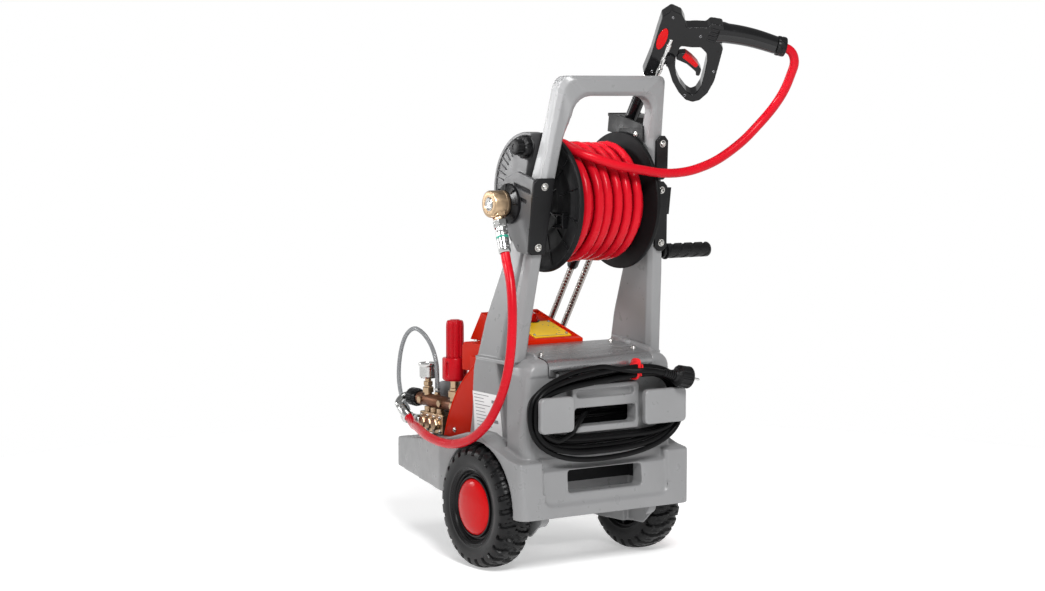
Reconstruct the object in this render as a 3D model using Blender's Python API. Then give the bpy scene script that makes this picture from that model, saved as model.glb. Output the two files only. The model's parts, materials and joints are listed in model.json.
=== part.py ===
"""Trolley pressure washer: moulded chassis, motor and pump, hose drum, spray gun and cables.

World axes: +X is the operator's left, +Y points to the operator (rear), +Z is up, in metres.
Positions below are measured from the ground point midway between the wheels; the empty
"machine_frame" then moves everything so that the base box is centred on the world origin.
"""
import math

import bmesh
import bpy
from mathutils import Matrix, Vector

# ---------------------------------------------------------------- driving dimensions
BASE_CENTRE_X = -0.0454         # centre of the machine's box, measured from the axle point
BASE_CENTRE_Y = -0.0919
GAP = 0.0003                    # clearance between touching pieces

TYRE_R = 0.110
WHEEL_IN, WHEEL_OUT = 0.131, 0.196
AXLE_R = 0.008
AXLE_Y = -0.024                 # the axle lies a little ahead of the point the plan is measured from
ARCH_R = 0.1155

CHASSIS_HALF = 0.183            # half width at the bumper
BUMPER_REAR = 0.121
TOWER_HALF = 0.158              # rear tower under the sheet cover
TOWER_REAR = 0.0945
TOWER_TOP = 0.372
WEB_IN, WEB_OUT = 0.124, 0.142  # side panels that carry the uprights
NOSE_Y = -0.420

DRUM_Y, DRUM_Z = 0.034, 0.648
FLANGE_R = 0.122
WOUND_R = 0.106
CRANK_Y, CRANK_Z = 0.072, 0.556

MOTOR_X, MOTOR_Z = 0.010, 0.255
MOTOR_R = 0.072
PUMP_X = 0.090                  # plane of the pump head, manifold and gauge
MANIFOLD_Z = 0.2575

LANCE_LEAN = math.radians(33.6)
LANCE_POINT = (-0.105, 0.034, 0.787)
SPARE_POINT = (-0.1405, 0.034, 0.787)
GUN_TURN = math.radians(151.6)  # turn of the gun's grip about its lance

HOSE_R = 0.0082
CABLE_R = 0.0048

ELBOW_AT, ELBOW_BEND = (0.090, -0.420, 0.2575), (0.1165, -0.4090, 0.2440)
ELBOW_WAY = (0.0020, 0.0410, -0.0215)
PORT_AT, PORT_WAY = (0.179, 0.036, 0.648), (0.007, 0.038, -0.086)


# ---------------------------------------------------------------- helpers
def clear_scene():
    for obj in list(bpy.data.objects):
        bpy.data.objects.remove(obj, do_unlink=True)


def material(name, colour, roughness=0.5, metallic=0.0):
    mat = bpy.data.materials.new(name)
    mat.use_nodes = True
    shader = mat.node_tree.nodes["Principled BSDF"]
    shader.inputs["Base Color"].default_value = (*colour, 1.0)
    shader.inputs["Roughness"].default_value = roughness
    shader.inputs["Metallic"].default_value = metallic
    mat.diffuse_color = (*colour, 1.0)
    return mat


def new_object(name, verts, faces, mat, smooth=35.0):
    """Makes one closed object with outward faces under the machine frame."""
    mesh = bpy.data.meshes.new(name)
    mesh.from_pydata([tuple(v) for v in verts], [], faces)
    bm = bmesh.new()
    bm.from_mesh(mesh)
    bmesh.ops.recalc_face_normals(bm, faces=bm.faces)
    bm.to_mesh(mesh)
    bm.free()
    mesh.shade_smooth()
    mesh.set_sharp_from_angle(angle=math.radians(smooth))
    obj = bpy.data.objects.new(name, mesh)
    bpy.context.scene.collection.objects.link(obj)
    if mat is not None:
        mesh.materials.append(mat)
    obj.parent = FRAME
    return obj


def empty(name, location, rotation=(0, 0, 0), order="XYZ"):
    obj = bpy.data.objects.new(name, None)
    obj.rotation_mode = order
    obj.location = location
    obj.rotation_euler = rotation
    bpy.context.scene.collection.objects.link(obj)
    return obj


def set_on(obj, parent):
    """Re-parents an object built about its parent's own origin."""
    obj.parent = parent
    return obj


def loft(name, rings, mat, smooth=35.0):
    count = len(rings[0])
    verts = [p for ring in rings for p in ring]
    faces = [list(range(count))[::-1]]
    for level in range(len(rings) - 1):
        low = level * count
        for i in range(count):
            j = (i + 1) % count
            faces.append([low + i, low + j, low + count + j, low + count + i])
    faces.append([(len(rings) - 1) * count + i for i in range(count)])
    return new_object(name, verts, faces, mat, smooth)


def along_way(start, way, distance):
    """Point at a distance from the start, in the direction given."""
    return tuple(Vector(start) + Vector(way).normalized() * distance)


def along(axis, value, a, b):
    return {"X": (value, a, b), "Y": (a, value, b), "Z": (a, b, value)}[axis]


def prism(name, axis, low, high, outline, mat, smooth=35.0):
    rings = [[along(axis, value, a, b) for a, b in outline] for value in (low, high)]
    return loft(name, rings, mat, smooth)


def block(name, low, high, mat):
    (x0, y0, z0), (x1, y1, z1) = low, high
    return prism(name, "Z", z0, z1, [(x0, y0), (x1, y0), (x1, y1), (x0, y1)], mat)


def rounded(points, radius, steps=4):
    """Rounds an outline's corners; radius is one value or one for each corner."""
    count = len(points)
    radii = radius if isinstance(radius, (list, tuple)) else [radius] * count
    out = []
    for i, here in enumerate(points):
        corner = Vector(here)
        if radii[i] <= 0:
            out.append(tuple(corner))
            continue
        before = (Vector(points[i - 1]) - corner)
        after = (Vector(points[(i + 1) % count]) - corner)
        reach = min(radii[i] / math.tan(before.angle(after) / 2),
                    0.48 * before.length, 0.48 * after.length)
        start, end = corner + before.normalized() * reach, corner + after.normalized() * reach
        for k in range(steps + 1):
            t = k / steps
            out.append(tuple(start * (1 - t) ** 2 + corner * 2 * t * (1 - t) + end * t ** 2))
    return out


def circle(centre, radius, count, start=0.0):
    return [(centre[0] + radius * math.cos(start + math.tau * i / count),
             centre[1] + radius * math.sin(start + math.tau * i / count)) for i in range(count)]


def turned(name, centre, axis, profile, mat, segments=32, smooth=35.0):
    """Turns (distance along the axis, radius) points; ends at radius 0 close on the axis,
    and any other profile is a closed loop, as on a ring."""
    turn = Vector(axis).to_track_quat("Z", "Y").to_matrix()
    solid = profile[0][1] == 0 and profile[-1][1] == 0
    verts, rows = [], []
    for t, radius in profile:
        if radius == 0:
            verts.append(turn @ Vector((0, 0, t)))
            rows.append([len(verts) - 1] * segments)
            continue
        rows.append(list(range(len(verts), len(verts) + segments)))
        for x, y in circle((0, 0), radius, segments):
            verts.append(turn @ Vector((x, y, t)))
    pairs = list(zip(rows, rows[1:]))
    if not solid:
        pairs.append((rows[-1], rows[0]))
    faces = []
    for low, high in pairs:
        for i in range(segments):
            j = (i + 1) % segments
            corners = [low[i], low[j], high[j], high[i]]
            face = [c for k, c in enumerate(corners) if c not in corners[:k]]
            faces.append(face)
    obj = new_object(name, verts, faces, mat, smooth)
    obj.location = centre
    return obj


def rod(name, centre, axis, low, high, radius, mat, segments=20, chamfer=0.0):
    profile = [(low, 0), (low, radius - chamfer), (low + chamfer, radius),
               (high - chamfer, radius), (high, radius - chamfer), (high, 0)]
    if chamfer == 0:
        profile = [(low, 0), (low, radius), (high, radius), (high, 0)]
    return turned(name, centre, axis, profile, mat, segments)


def guide(obj):
    obj.display_type = "WIRE"
    obj.hide_render = True
    return obj


def combine(obj, operation, *others):
    for other in others:
        guide(other)
        modifier = obj.modifiers.new(other.name, "BOOLEAN")
        modifier.operation = operation
        modifier.object = other
        modifier.solver = "EXACT"
    return obj


def smooth_route(points, spacing):
    """Points along a smooth curve through the route's own points, with straight ends."""
    pts = [Vector(p) for p in points]
    fine = []
    for a, b, c, d in zip(pts, pts[1:], pts[2:], pts[3:]):
        for k in range(24):
            t = k / 24
            fine.append(0.5 * ((2 * b) + (c - a) * t + (2 * a - 5 * b + 4 * c - d) * t ** 2
                               + (3 * b - a - 3 * c + d) * t ** 3))
    fine.append(pts[-2])
    length = sum((q - p).length for p, q in zip(fine, fine[1:]))
    count = max(3, round(length / spacing))
    out, run = [fine[0]], 0.0
    for p, q in zip(fine, fine[1:]):
        step = (q - p).length
        while len(out) < count and run + step >= length * len(out) / count:
            out.append(p.lerp(q, (length * len(out) / count - run) / step))
        run += step
    return [pts[0]] + out + [pts[-2], pts[-1]]


def cord_tube(name, route, radius, mat, resolution=2, spacing=2.5):
    data = bpy.data.curves.new(name, "CURVE")
    data.dimensions = "3D"
    data.bevel_depth = radius
    data.bevel_resolution = resolution
    data.use_fill_caps = True
    points = smooth_route(route, spacing * 2 * radius)
    spline = data.splines.new("POLY")
    spline.points.add(len(points) - 1)
    for item, p in zip(spline.points, points):
        item.co = (*p, 1.0)
    data.materials.append(mat)
    obj = bpy.data.objects.new(name, data)
    bpy.context.scene.collection.objects.link(obj)
    obj.parent = FRAME
    return obj


# ---------------------------------------------------------------- chassis
def mirror_x(outline):
    """Closes a half outline (x >= 0, first to last point) with its mirror image."""
    return outline + [(-x, y) for x, y in reversed(outline)]


def chassis():
    side = [(-0.420, 0.1245), (-0.155, 0.119), (0.100, 0.1035), (BUMPER_REAR, 0.1035), (0.113, 0.2023),
            (0.080, 0.207), (-0.020, 0.2365), (-0.060, 0.238), (-0.150, 0.214), (-0.405, 0.182),
            (-0.420, 0.174)]
    body = prism("chassis", "X", -0.19, 0.19, side, MAT["grey"])
    plan = mirror_x([(0.115, NOSE_Y), (0.181, -0.155), (CHASSIS_HALF, 0.04),
                     (CHASSIS_HALF, BUMPER_REAR + 0.001)])
    plan = rounded(plan, [0.014, 0.03, 0, 0.016, 0.016, 0, 0.03, 0.014], 3)
    combine(body, "INTERSECT", prism("plan_guide", "Z", 0.09, 0.25, plan, None))

    tower = []
    for z, half, rear, corner in ((0.150, 0.160, 0.096, 0.02), (0.350, TOWER_HALF, TOWER_REAR, 0.02),
                                  (0.365, TOWER_HALF - 0.003, TOWER_REAR - 0.003, 0.02),
                                  (TOWER_TOP, TOWER_HALF - 0.012, TOWER_REAR - 0.011, 0.016)):
        ring = rounded([(-half, 0.036), (half, 0.036), (half, rear), (-half, rear)],
                       [0, 0, corner, corner], 4)
        tower.append([(x, y, z) for x, y in ring])
    parts = [loft("tower_guide", tower, None)]
    web = [(-0.117, 0.150), (-0.1109, 0.234), (-0.0924, 0.3144), (-0.073, TOWER_TOP), (0.020, TOWER_TOP),
           (0.020, 0.150)]
    groove = [(0.0, 0.150), (0.0, TOWER_TOP), (0.060, TOWER_TOP), (0.060, 0.150)]
    for side_sign, label in ((1, "left"), (-1, "right")):
        lo, hi = sorted((side_sign * WEB_IN, side_sign * WEB_OUT))
        parts.append(prism("web_guide_" + label, "X", lo, hi, web, None))
        lo, hi = sorted((side_sign * (WEB_IN + 0.001), side_sign * (WEB_OUT - 0.012)))
        parts.append(prism("groove_guide_" + label, "X", lo, hi, groove, None))
        lo, hi = sorted((side_sign * 0.1135, side_sign * 0.1265))
        ridge = rounded([(-0.045, 0.340), (-0.045, 0.398), (0.075, 0.386), (0.086, 0.372), (0.086, 0.340)],
                        [0, 0.004, 0.006, 0.006, 0], 2)
        parts.append(prism("ridge_guide_" + label, "X", lo, hi, ridge, None))
        # hanging skirt that carries the axle
        lo, hi = sorted((side_sign * 0.108, side_sign * 0.1245))
        skirt = rounded([(-0.150, 0.130), (-0.120, 0.056), (0.060, 0.062), (0.095, 0.092), (0.098, 0.130)],
                        [0, 0.012, 0.012, 0.01, 0], 3)
        parts.append(prism("skirt_guide_" + label, "X", lo, hi, skirt, None))
        # cable hook: stem and rear plate
        lo, hi = sorted((side_sign * 0.092, side_sign * 0.140))
        stem = rounded([(lo, 0.268), (hi, 0.268), (hi, 0.306), (lo, 0.306)], 0.006, 2)
        parts.append(prism("hook_stem_guide_" + label, "Y", 0.080, 0.134, stem, None))
        lo, hi = (0.0869, 0.1555) if side_sign > 0 else (-0.1555, -0.0660)
        plate = rounded([(lo, 0.2565), (hi, 0.2565), (hi, 0.3175), (lo, 0.3175)], 0.010, 3)
        parts.append(prism("hook_plate_guide_" + label, "Y", 0.1285, 0.1405, plate, None))
    frame_outline = rounded([(-0.072, 0.2475), (0.072, 0.2475), (0.072, 0.3315), (-0.072, 0.3315)], 0.006, 2)
    parts.append(prism("reel_frame_guide", "Y", 0.080, 0.1115, frame_outline, None))
    leg = rounded([(-0.262, 0.124), (-0.256, 0.012), (-0.216, 0.012), (-0.196, 0.124)],
                  [0, 0.004, 0.004, 0], 2)
    parts.append(prism("leg_guide", "X", -0.040, 0.040, leg, None))
    combine(body, "UNION", *parts)

    tub = mirror_x([(0.100, -0.405), (0.1215, -0.230), (0.1215, -0.012)])
    tub = rounded(tub, [0.02, 0.01, 0.004, 0.004, 0.01, 0.02], 3)
    cuts = [prism("tub_guide", "Z", 0.141, 0.45, tub, None)]
    cuts.append(block("tower_space_guide", (-0.120, 0.016, 0.06), (0.120, 0.083, 0.45), None))
    for side_sign, label in ((1, "left"), (-1, "right")):
        cuts.append(rod("arch_guide_" + label, (side_sign * 0.163, AXLE_Y, 0.110), (1, 0, 0), -0.037, 0.040,
                        ARCH_R, None, 36))
    cuts.append(rod("axle_hole_guide", (0, AXLE_Y, 0.110), (1, 0, 0), -0.20, 0.20, AXLE_R + GAP, None, 12))
    recess = [(0.135, 0.1275), (0.1145, 0.1275), (0.1095, 0.1840), (0.0970, 0.1900), (0.0970, 0.245),
              (0.135, 0.245)]
    cuts.append(prism("panel_guide", "X", -0.131, 0.131, recess, None))
    hole = rounded([(-0.0796, 0.1441), (0.0796, 0.1441), (0.0796, 0.1834), (-0.0796, 0.1834)], 0.006, 3)
    cuts.append(prism("hand_hole_guide", "Y", 0.070, 0.140, hole, None))
    slot = rounded([(-0.066, 0.266), (0.066, 0.266), (0.066, 0.291), (-0.066, 0.291)], 0.005, 2)
    cuts.append(prism("slot_guide", "Y", 0.070, 0.120, slot, None))
    groove_line = rounded([(-0.062, 0.309), (0.062, 0.309), (0.062, 0.323), (-0.062, 0.323)], 0.005, 2)
    cuts.append(prism("frame_groove_guide", "Y", 0.102, 0.120, groove_line, None))
    cuts.append(rod("gland_hole_guide", (0, GLAND_Y, GLAND_Z), (1, 0, 0), -0.135, -0.110, 0.0065, None, 16))
    combine(body, "DIFFERENCE", *cuts)


def upright_section(z_outer, x_outer, z_inner, x_inner, front, rear, groove):
    """One cross-section of the handle frame, from its outer line to its inner line."""
    def at(t, y):
        return (x_outer + (x_inner - x_outer) * t, y, z_outer + (z_inner - z_outer) * t)
    depth = rear - front
    soft = min(0.22, 0.010 / max(0.02, abs(x_outer - x_inner)))
    corner = min(0.2 * depth, 0.009)
    return [at(soft, rear), at(0.0, rear - corner),
            at(0.0, front + depth * 0.78), at(groove, front + depth * 0.74),
            at(groove, front + depth * 0.62), at(groove * 0.35, front + depth * 0.58),
            at(0.0 + groove * 0.35, front + corner), at(soft, front),
            at(1 - soft, front), at(1.0, front + corner), at(1.0, rear - corner), at(1 - soft, rear)]


def handle_frame():
    levels = [(0.3723, 0.1615, 0.129, -0.066, 0.060), (0.440, 0.1565, 0.124, -0.046, 0.069),
              (0.520, 0.1500, 0.117, -0.010, 0.081), (0.575, 0.1440, 0.112, 0.012, 0.089),
              (0.628, 0.1375, 0.106, 0.048, 0.096), (0.690, 0.1290, 0.099, 0.058, 0.105),
              (0.760, 0.1205, 0.091, 0.078, 0.116)]
    half = []
    for z, outer, inner, front, rear in levels:
        groove = 0.36 if z < 0.6 else 0.03
        half.append(upright_section(z, outer, z, inner, front, rear, groove))
    # the bend into the top bar: outer and inner lines turn about their own corners
    bend, top, bar = 5, 0.869, 0.834
    for k in range(bend + 1):
        angle = math.pi / 2 * k / bend
        zo = 0.852 + (top - 0.852) * math.sin(angle)
        xo = 0.096 + 0.0165 * math.cos(angle)
        zi = 0.800 + (bar - 0.800) * math.sin(angle)
        xi = 0.052 + 0.033 * math.cos(angle)
        share = k / bend
        half.append(upright_section(zo, xo, zi, xi, 0.100 + 0.009 * share, 0.1345 + 0.0105 * share, 0.02))
    other = [[(-x, y, z) for x, y, z in ring] for ring in reversed(half)]
    return loft("handle_frame", half + other, MAT["grey"], 40)


def covers_and_plates():
    top = [(-0.0290, 0.3901), (0.034, 0.3852), (0.078, 0.3785), (0.0915, 0.3735), (0.0965, 0.366),
           (0.0985, 0.3500)]
    under = [(y - 0.0013, z - 0.0012) for y, z in reversed(top[1:])] + [(-0.0290, 0.3889)]
    prism("top_cover", "X", -0.1115, 0.1115, top + under, MAT["sheet"])


# ---------------------------------------------------------------- wheels
def wheels():
    rod("axle", (0, AXLE_Y, 0.110), (1, 0, 0), -0.1985, 0.1985, AXLE_R, MAT["steel"], 16, 0.0015)
    mid = (WHEEL_IN + WHEEL_OUT) / 2
    half = (WHEEL_OUT - WHEEL_IN) / 2
    for sign, label in ((1, "left"), (-1, "right")):
        centre = (sign * mid, AXLE_Y, 0.110)
        tyre = [(-half, 0.068), (half, 0.068), (half, 0.098), (half - 0.012, TYRE_R - 0.0005),
                (half - 0.024, TYRE_R), (-half + 0.024, TYRE_R), (-half + 0.012, TYRE_R - 0.0005),
                (-half, 0.098)]
        turned("tyre_" + label, centre, (sign, 0, 0), tyre, MAT["tyre"], 32)
        bore = AXLE_R + GAP
        rim = [(-0.024, bore), (half - 0.010, bore), (half - 0.010, 0.052), (half - 0.016, 0.056),
               (half - 0.006, 0.0677), (-half + 0.008, 0.0677), (-0.024, 0.022)]
        turned("rim_" + label, centre, (sign, 0, 0), rim, MAT["black"], 24)
        seat = half - 0.010 + GAP
        cap = [(half + 0.0058, 0), (half + 0.0058, 0.0090), (seat, 0.0090), (seat, 0.0505),
               (half - 0.003, 0.0495), (half + 0.0045, 0.040), (half + 0.009, 0.022), (half + 0.0105, 0)]
        turned("hub_cap_" + label, centre, (sign, 0, 0), cap, MAT["red_gloss"], 24)


def foot():
    pad = rounded([(-0.263, 0.0), (-0.209, 0.0), (-0.209, 0.0117), (-0.263, 0.0117)], [0.003, 0.003, 0, 0], 2)
    prism("foot_pad", "X", -0.045, 0.045, pad, MAT["rubber"])


# ---------------------------------------------------------------- motor and pump
def motor():
    centre = (MOTOR_X, 0, MOTOR_Z)
    shell = [(-0.200, 0.0085), (-0.200, 0.062), (-0.186, 0.064), (-0.184, MOTOR_R), (-0.070, MOTOR_R),
             (-0.066, 0.066), (-0.0555, 0.066), (-0.0555, 0.0085), (-0.062, 0.0085), (-0.062, 0.060),
             (-0.180, 0.060), (-0.180, 0.0085)]
    housing = turned("motor_housing", centre, (0, 1, 0), shell, MAT["alloy"], 24)
    feet = [block("motor_foot_guide_" + str(i), (MOTOR_X - 0.045, y, 0.1413),
                  (MOTOR_X + 0.045, y + 0.03, 0.193), None) for i, y in enumerate((-0.175, -0.11))]
    combine(housing, "UNION", *feet)
    shaft = [(-0.2340, 0), (-0.2340, 0.008), (-0.176, 0.008), (-0.172, 0.012), (-0.160, 0.012),
             (-0.158, 0.040), (-0.084, 0.040), (-0.082, 0.012), (-0.070, 0.012), (-0.066, 0.008),
             (-0.030, 0.008), (-0.030, 0)]
    turned("motor_shaft", centre, (0, 1, 0), shaft, MAT["steel"], 14)
    hub = turned("cooling_fan", centre, (0, 1, 0), [(-0.052, 0.0083), (-0.052, 0.018), (-0.034, 0.018),
                                                    (-0.034, 0.0083)], MAT["black"], 20)
    blades = []
    for i in range(6):
        blade = block("fan_blade_guide_" + str(i), (-0.0015, -0.050, 0.016), (0.0015, -0.036, 0.052), None)
        blade.matrix_local = Matrix.Translation(centre) @ Matrix.Rotation(math.tau * i / 6, 4, "Y")
        blades.append(blade)
    combine(hub, "UNION", *blades)
    cowl = [(-0.0552, 0.0690), (-0.0200, 0.0690), (-0.0200, 0.030), (-0.0220, 0.030), (-0.0220, 0.0670),
            (-0.0552, 0.0670)]
    turned("fan_cowl", centre, (0, 1, 0), cowl, MAT["black"], 20)


def hood():
    """Sheet hood over the motor: curved side plate and a folded top."""
    plate = [(-0.2370, 0.2050), (-0.2262, 0.2347), (-0.2049, 0.2746), (-0.1804, 0.3051), (-0.1458, 0.3365),
             (-0.1118, 0.3582), (-0.0783, 0.3706), (-0.0500, 0.3760), (-0.0140, 0.3760), (-0.0140, 0.2050)]
    body = prism("motor_hood", "X", 0.1165, 0.1190, plate, MAT["red"])
    over = [(-0.1950, 0.332), (-0.1950, 0.3750), (-0.1880, 0.3835), (-0.0140, 0.3835), (-0.0140, 0.3815),
            (-0.1868, 0.3815), (-0.1930, 0.3742), (-0.1930, 0.332)]
    arch = prism("hood_top_guide", "X", -0.0800, 0.1060, over, None)
    link = [(-0.1500, 0.3400), (-0.1500, 0.3815), (-0.0300, 0.3815), (-0.0300, 0.3400)]
    side = prism("hood_left_guide", "X", 0.1040, 0.1060,
                 [(-0.1940, 0.332), (-0.1940, 0.3740), (-0.1868, 0.3825), (-0.0140, 0.3825),
                  (-0.0140, 0.332)], None)
    right = prism("hood_right_guide", "X", -0.0800, -0.0780,
                  [(-0.1940, 0.332), (-0.1940, 0.3740), (-0.1868, 0.3825), (-0.0140, 0.3825),
                   (-0.0140, 0.332)], None)
    bridge = prism("hood_link_guide", "X", 0.1050, 0.1170, [(y, z - 0.02) for y, z in link], None)
    combine(body, "UNION", bridge, side, arch, right)


def switch_box():
    floor, front_top, rear_top = 0.3838, 0.437, 0.396
    outline = [(-0.218, floor), (-0.180, front_top), (-0.030, rear_top), (-0.030, floor)]
    box = prism("switch_box", "X", -0.050, 0.0745, outline, MAT["red"])
    lean = math.atan2(front_top - rear_top, 0.150)
    inner = block("switch_recess_guide", (-0.046, -0.068, -0.004), (0.046, 0.0655, 0.02), None)
    inner.location = (0, -0.105, (front_top + rear_top) / 2)
    inner.rotation_euler = (-lean, 0, 0)
    combine(box, "DIFFERENCE", inner)
    plate = block("switch_plate", (-0.040, -0.020, -0.0037), (0.040, 0.056, -0.0017), MAT["yellow"])
    plate.location = inner.location
    plate.rotation_euler = inner.rotation_euler
    up = (0, math.sin(lean), math.cos(lean))
    knob = turned("main_switch", Vector((-0.005, -0.135, (front_top + rear_top) / 2 + 0.0082)), up,
                  [(-0.0013, 0), (-0.0013, 0.014), (0.004, 0.014), (0.004, 0)], MAT["red_gloss"], 20)
    grip = block("switch_grip_guide", (-0.004, -0.014, 0.003), (0.004, 0.014, 0.014), None)
    grip.location = knob.location
    grip.rotation_euler = (-lean, 0, 0)
    combine(knob, "UNION", grip)


def pump():
    x = PUMP_X
    case = rounded([(-0.3560, 0.1413), (-0.2006, 0.1413), (-0.2006, 0.3050), (-0.3560, 0.2900)],
                   [0.0, 0.0, 0.012, 0.02], 3)
    body = prism("pump_crankcase", "X", -0.045, 0.0640, case, MAT["alloy"])
    combine(body, "DIFFERENCE", rod("crank_bore_guide", (MOTOR_X, 0, MOTOR_Z), (0, 1, 0), -0.240, -0.19,
                                    0.0085, None, 20))
    head = block("pump_head", (0.0643, -0.3620, 0.197), (0.0975, -0.2800, 0.2350), MAT["brass"])
    stations = (-0.343, -0.321, -0.299)
    for i, y in enumerate(stations):
        stub = rod("stub_guide_" + str(i), (x, y, 0), (0, 0, 1), 0.230, 0.2446, 0.0078, None, 12)
        combine(head, "UNION", stub)
        cap = rod("valve_cap_guide_" + str(i), (0.0960, y, 0.2160), (1, 0, 0), 0, 0.0110, 0.0100, None, 6)
        combine(head, "UNION", cap)
    manifold = rod("outlet_manifold", (x, 0, MANIFOLD_Z), (0, 1, 0), -0.3720, -0.2320, 0.0125,
                   MAT["bronze"], 20, 0.0015)
    stems = [rod("gauge_stem_guide", (x, -0.343, 0), (0, 0, 1), 0.262, 0.2975, 0.0070, None, 13),
             rod("regulator_stem_guide", (x, -0.246, 0), (0, 0, 1), 0.262, 0.3045, 0.0095, None, 15),
             rod("bypass_stem_guide", (x - 0.003, -0.315, 0), (0, 0, 1), 0.262, 0.2747, 0.0050, None, 11),
             rod("outlet_stem_guide", (x, 0, MANIFOLD_Z), (0, 1, 0), -0.4050, -0.368, 0.0060, None, 13)]
    combine(manifold, "UNION", *stems)
    turned("coupling_nut", (x, -0.3885, MANIFOLD_Z), (0, 1, 0),
           [(-0.0162, 0.0065), (-0.0162, 0.0150), (-0.013, 0.0175), (0.013, 0.0175), (0.0160, 0.0150),
            (0.0160, 0.0065)], MAT["black"], 20)
    elbow = rod("hose_elbow", ELBOW_AT, (0, 1, 0), -0.0085, 0.0147, 0.0085, MAT["steel"], 16)
    across = Vector(ELBOW_BEND) - Vector(ELBOW_AT)
    bridge = rod("elbow_bridge_guide", ELBOW_AT, across, 0.0, across.length + 0.002, 0.0078, None, 13)
    tail = rod("elbow_tail_guide", ELBOW_BEND, ELBOW_WAY, -0.006, 0.0460, 0.0083, None, 15, 0.001)
    combine(elbow, "UNION", bridge, tail)
    turned("water_inlet", (x - 0.004, 0, 0.2130), (0, 1, 0),
           [(-0.4400, 0), (-0.4400, 0.0080), (-0.4300, 0.0080), (-0.4300, 0.0115), (-0.4180, 0.0115),
            (-0.4180, 0.0085), (-0.3900, 0.0085), (-0.3900, 0.0115), (-0.3780, 0.0115), (-0.3780, 0.0085),
            (-0.3623, 0.0085), (-0.3623, 0)], MAT["steel"], 14)
    turned("regulator_collar", (x, -0.246, 0), (0, 0, 1),
           [(0.3048, 0), (0.3048, 0.0200), (0.3080, 0.0235), (0.3480, 0.0235), (0.3480, 0.0172),
            (0.3400, 0.0172), (0.3400, 0)], MAT["red_gloss"], 20)
    fluted_knob(x)
    turned("gauge_case", (x, -0.343, 0), (0, 0, 1),
           [(0.2978, 0), (0.2978, 0.0145), (0.3010, 0.0165), (0.3230, 0.0165), (0.3260, 0.0185),
            (0.3275, 0.0185), (0.3275, 0.0150), (0.3230, 0.0150), (0.3230, 0)], MAT["steel"], 20)
    rod("gauge_lens", (x, -0.343, 0), (0, 0, 1), 0.3245, 0.3268, 0.0147, MAT["glass"], 20)


def fluted_knob(x):
    rings = []
    for z, radius in ((0.3403, 0.0160), (0.4140, 0.0160), (0.4190, 0.0135)):
        ring = []
        for i in range(32):
            angle = math.tau * i / 32
            reach = radius + 0.0009 * (1 if i % 4 < 2 else -1)
            ring.append((x + reach * math.cos(angle), -0.246 + reach * math.sin(angle), z))
        rings.append(ring)
    return loft("regulator_knob", rings, MAT["red_gloss"], 30)


BYPASS_ROUTE = [(0.0860, -0.4240, 0.2268), (0.0860, -0.4262, 0.2310), (0.0880, -0.4340, 0.2410),
                (0.0920, -0.4420, 0.2580), (0.0950, -0.4450, 0.2950), (0.0940, -0.4390, 0.3390),
                (0.0920, -0.4220, 0.3730), (0.0900, -0.3930, 0.3890), (0.0880, -0.3600, 0.3800),
                (0.0870, -0.3320, 0.3560), (0.0870, -0.3170, 0.3260), (0.0870, -0.3150, 0.2900),
                (0.0870, -0.3150, 0.2752)]
SUPPLY_ROUTE = [along_way(ELBOW_BEND, ELBOW_WAY, 0.0463), along_way(ELBOW_BEND, ELBOW_WAY, 0.0560),
                (0.1310, -0.3290, 0.2140), (0.1500, -0.2850, 0.2175), (0.1810, -0.2030, 0.2155),
                (0.1950, -0.1333, 0.2130), (0.1990, -0.0745, 0.2165), (0.2000, -0.0142, 0.2340),
                (0.2000, 0.0368, 0.2657), (0.2000, 0.0739, 0.3076), (0.2000, 0.0963, 0.3473),
                (0.1990, 0.1100, 0.3976), (0.1960, 0.1110, 0.4600), (0.1910, 0.0980, 0.5150),
                along_way(PORT_AT, PORT_WAY, 0.1050), along_way(PORT_AT, PORT_WAY, 0.0908)]


def hoses():
    cord_tube("bypass_hose", BYPASS_ROUTE, 0.0042, MAT["clear"], 2, 2.6)
    cord_tube("supply_hose", SUPPLY_ROUTE, HOSE_R, MAT["hose"], 2, 1.4)


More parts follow.
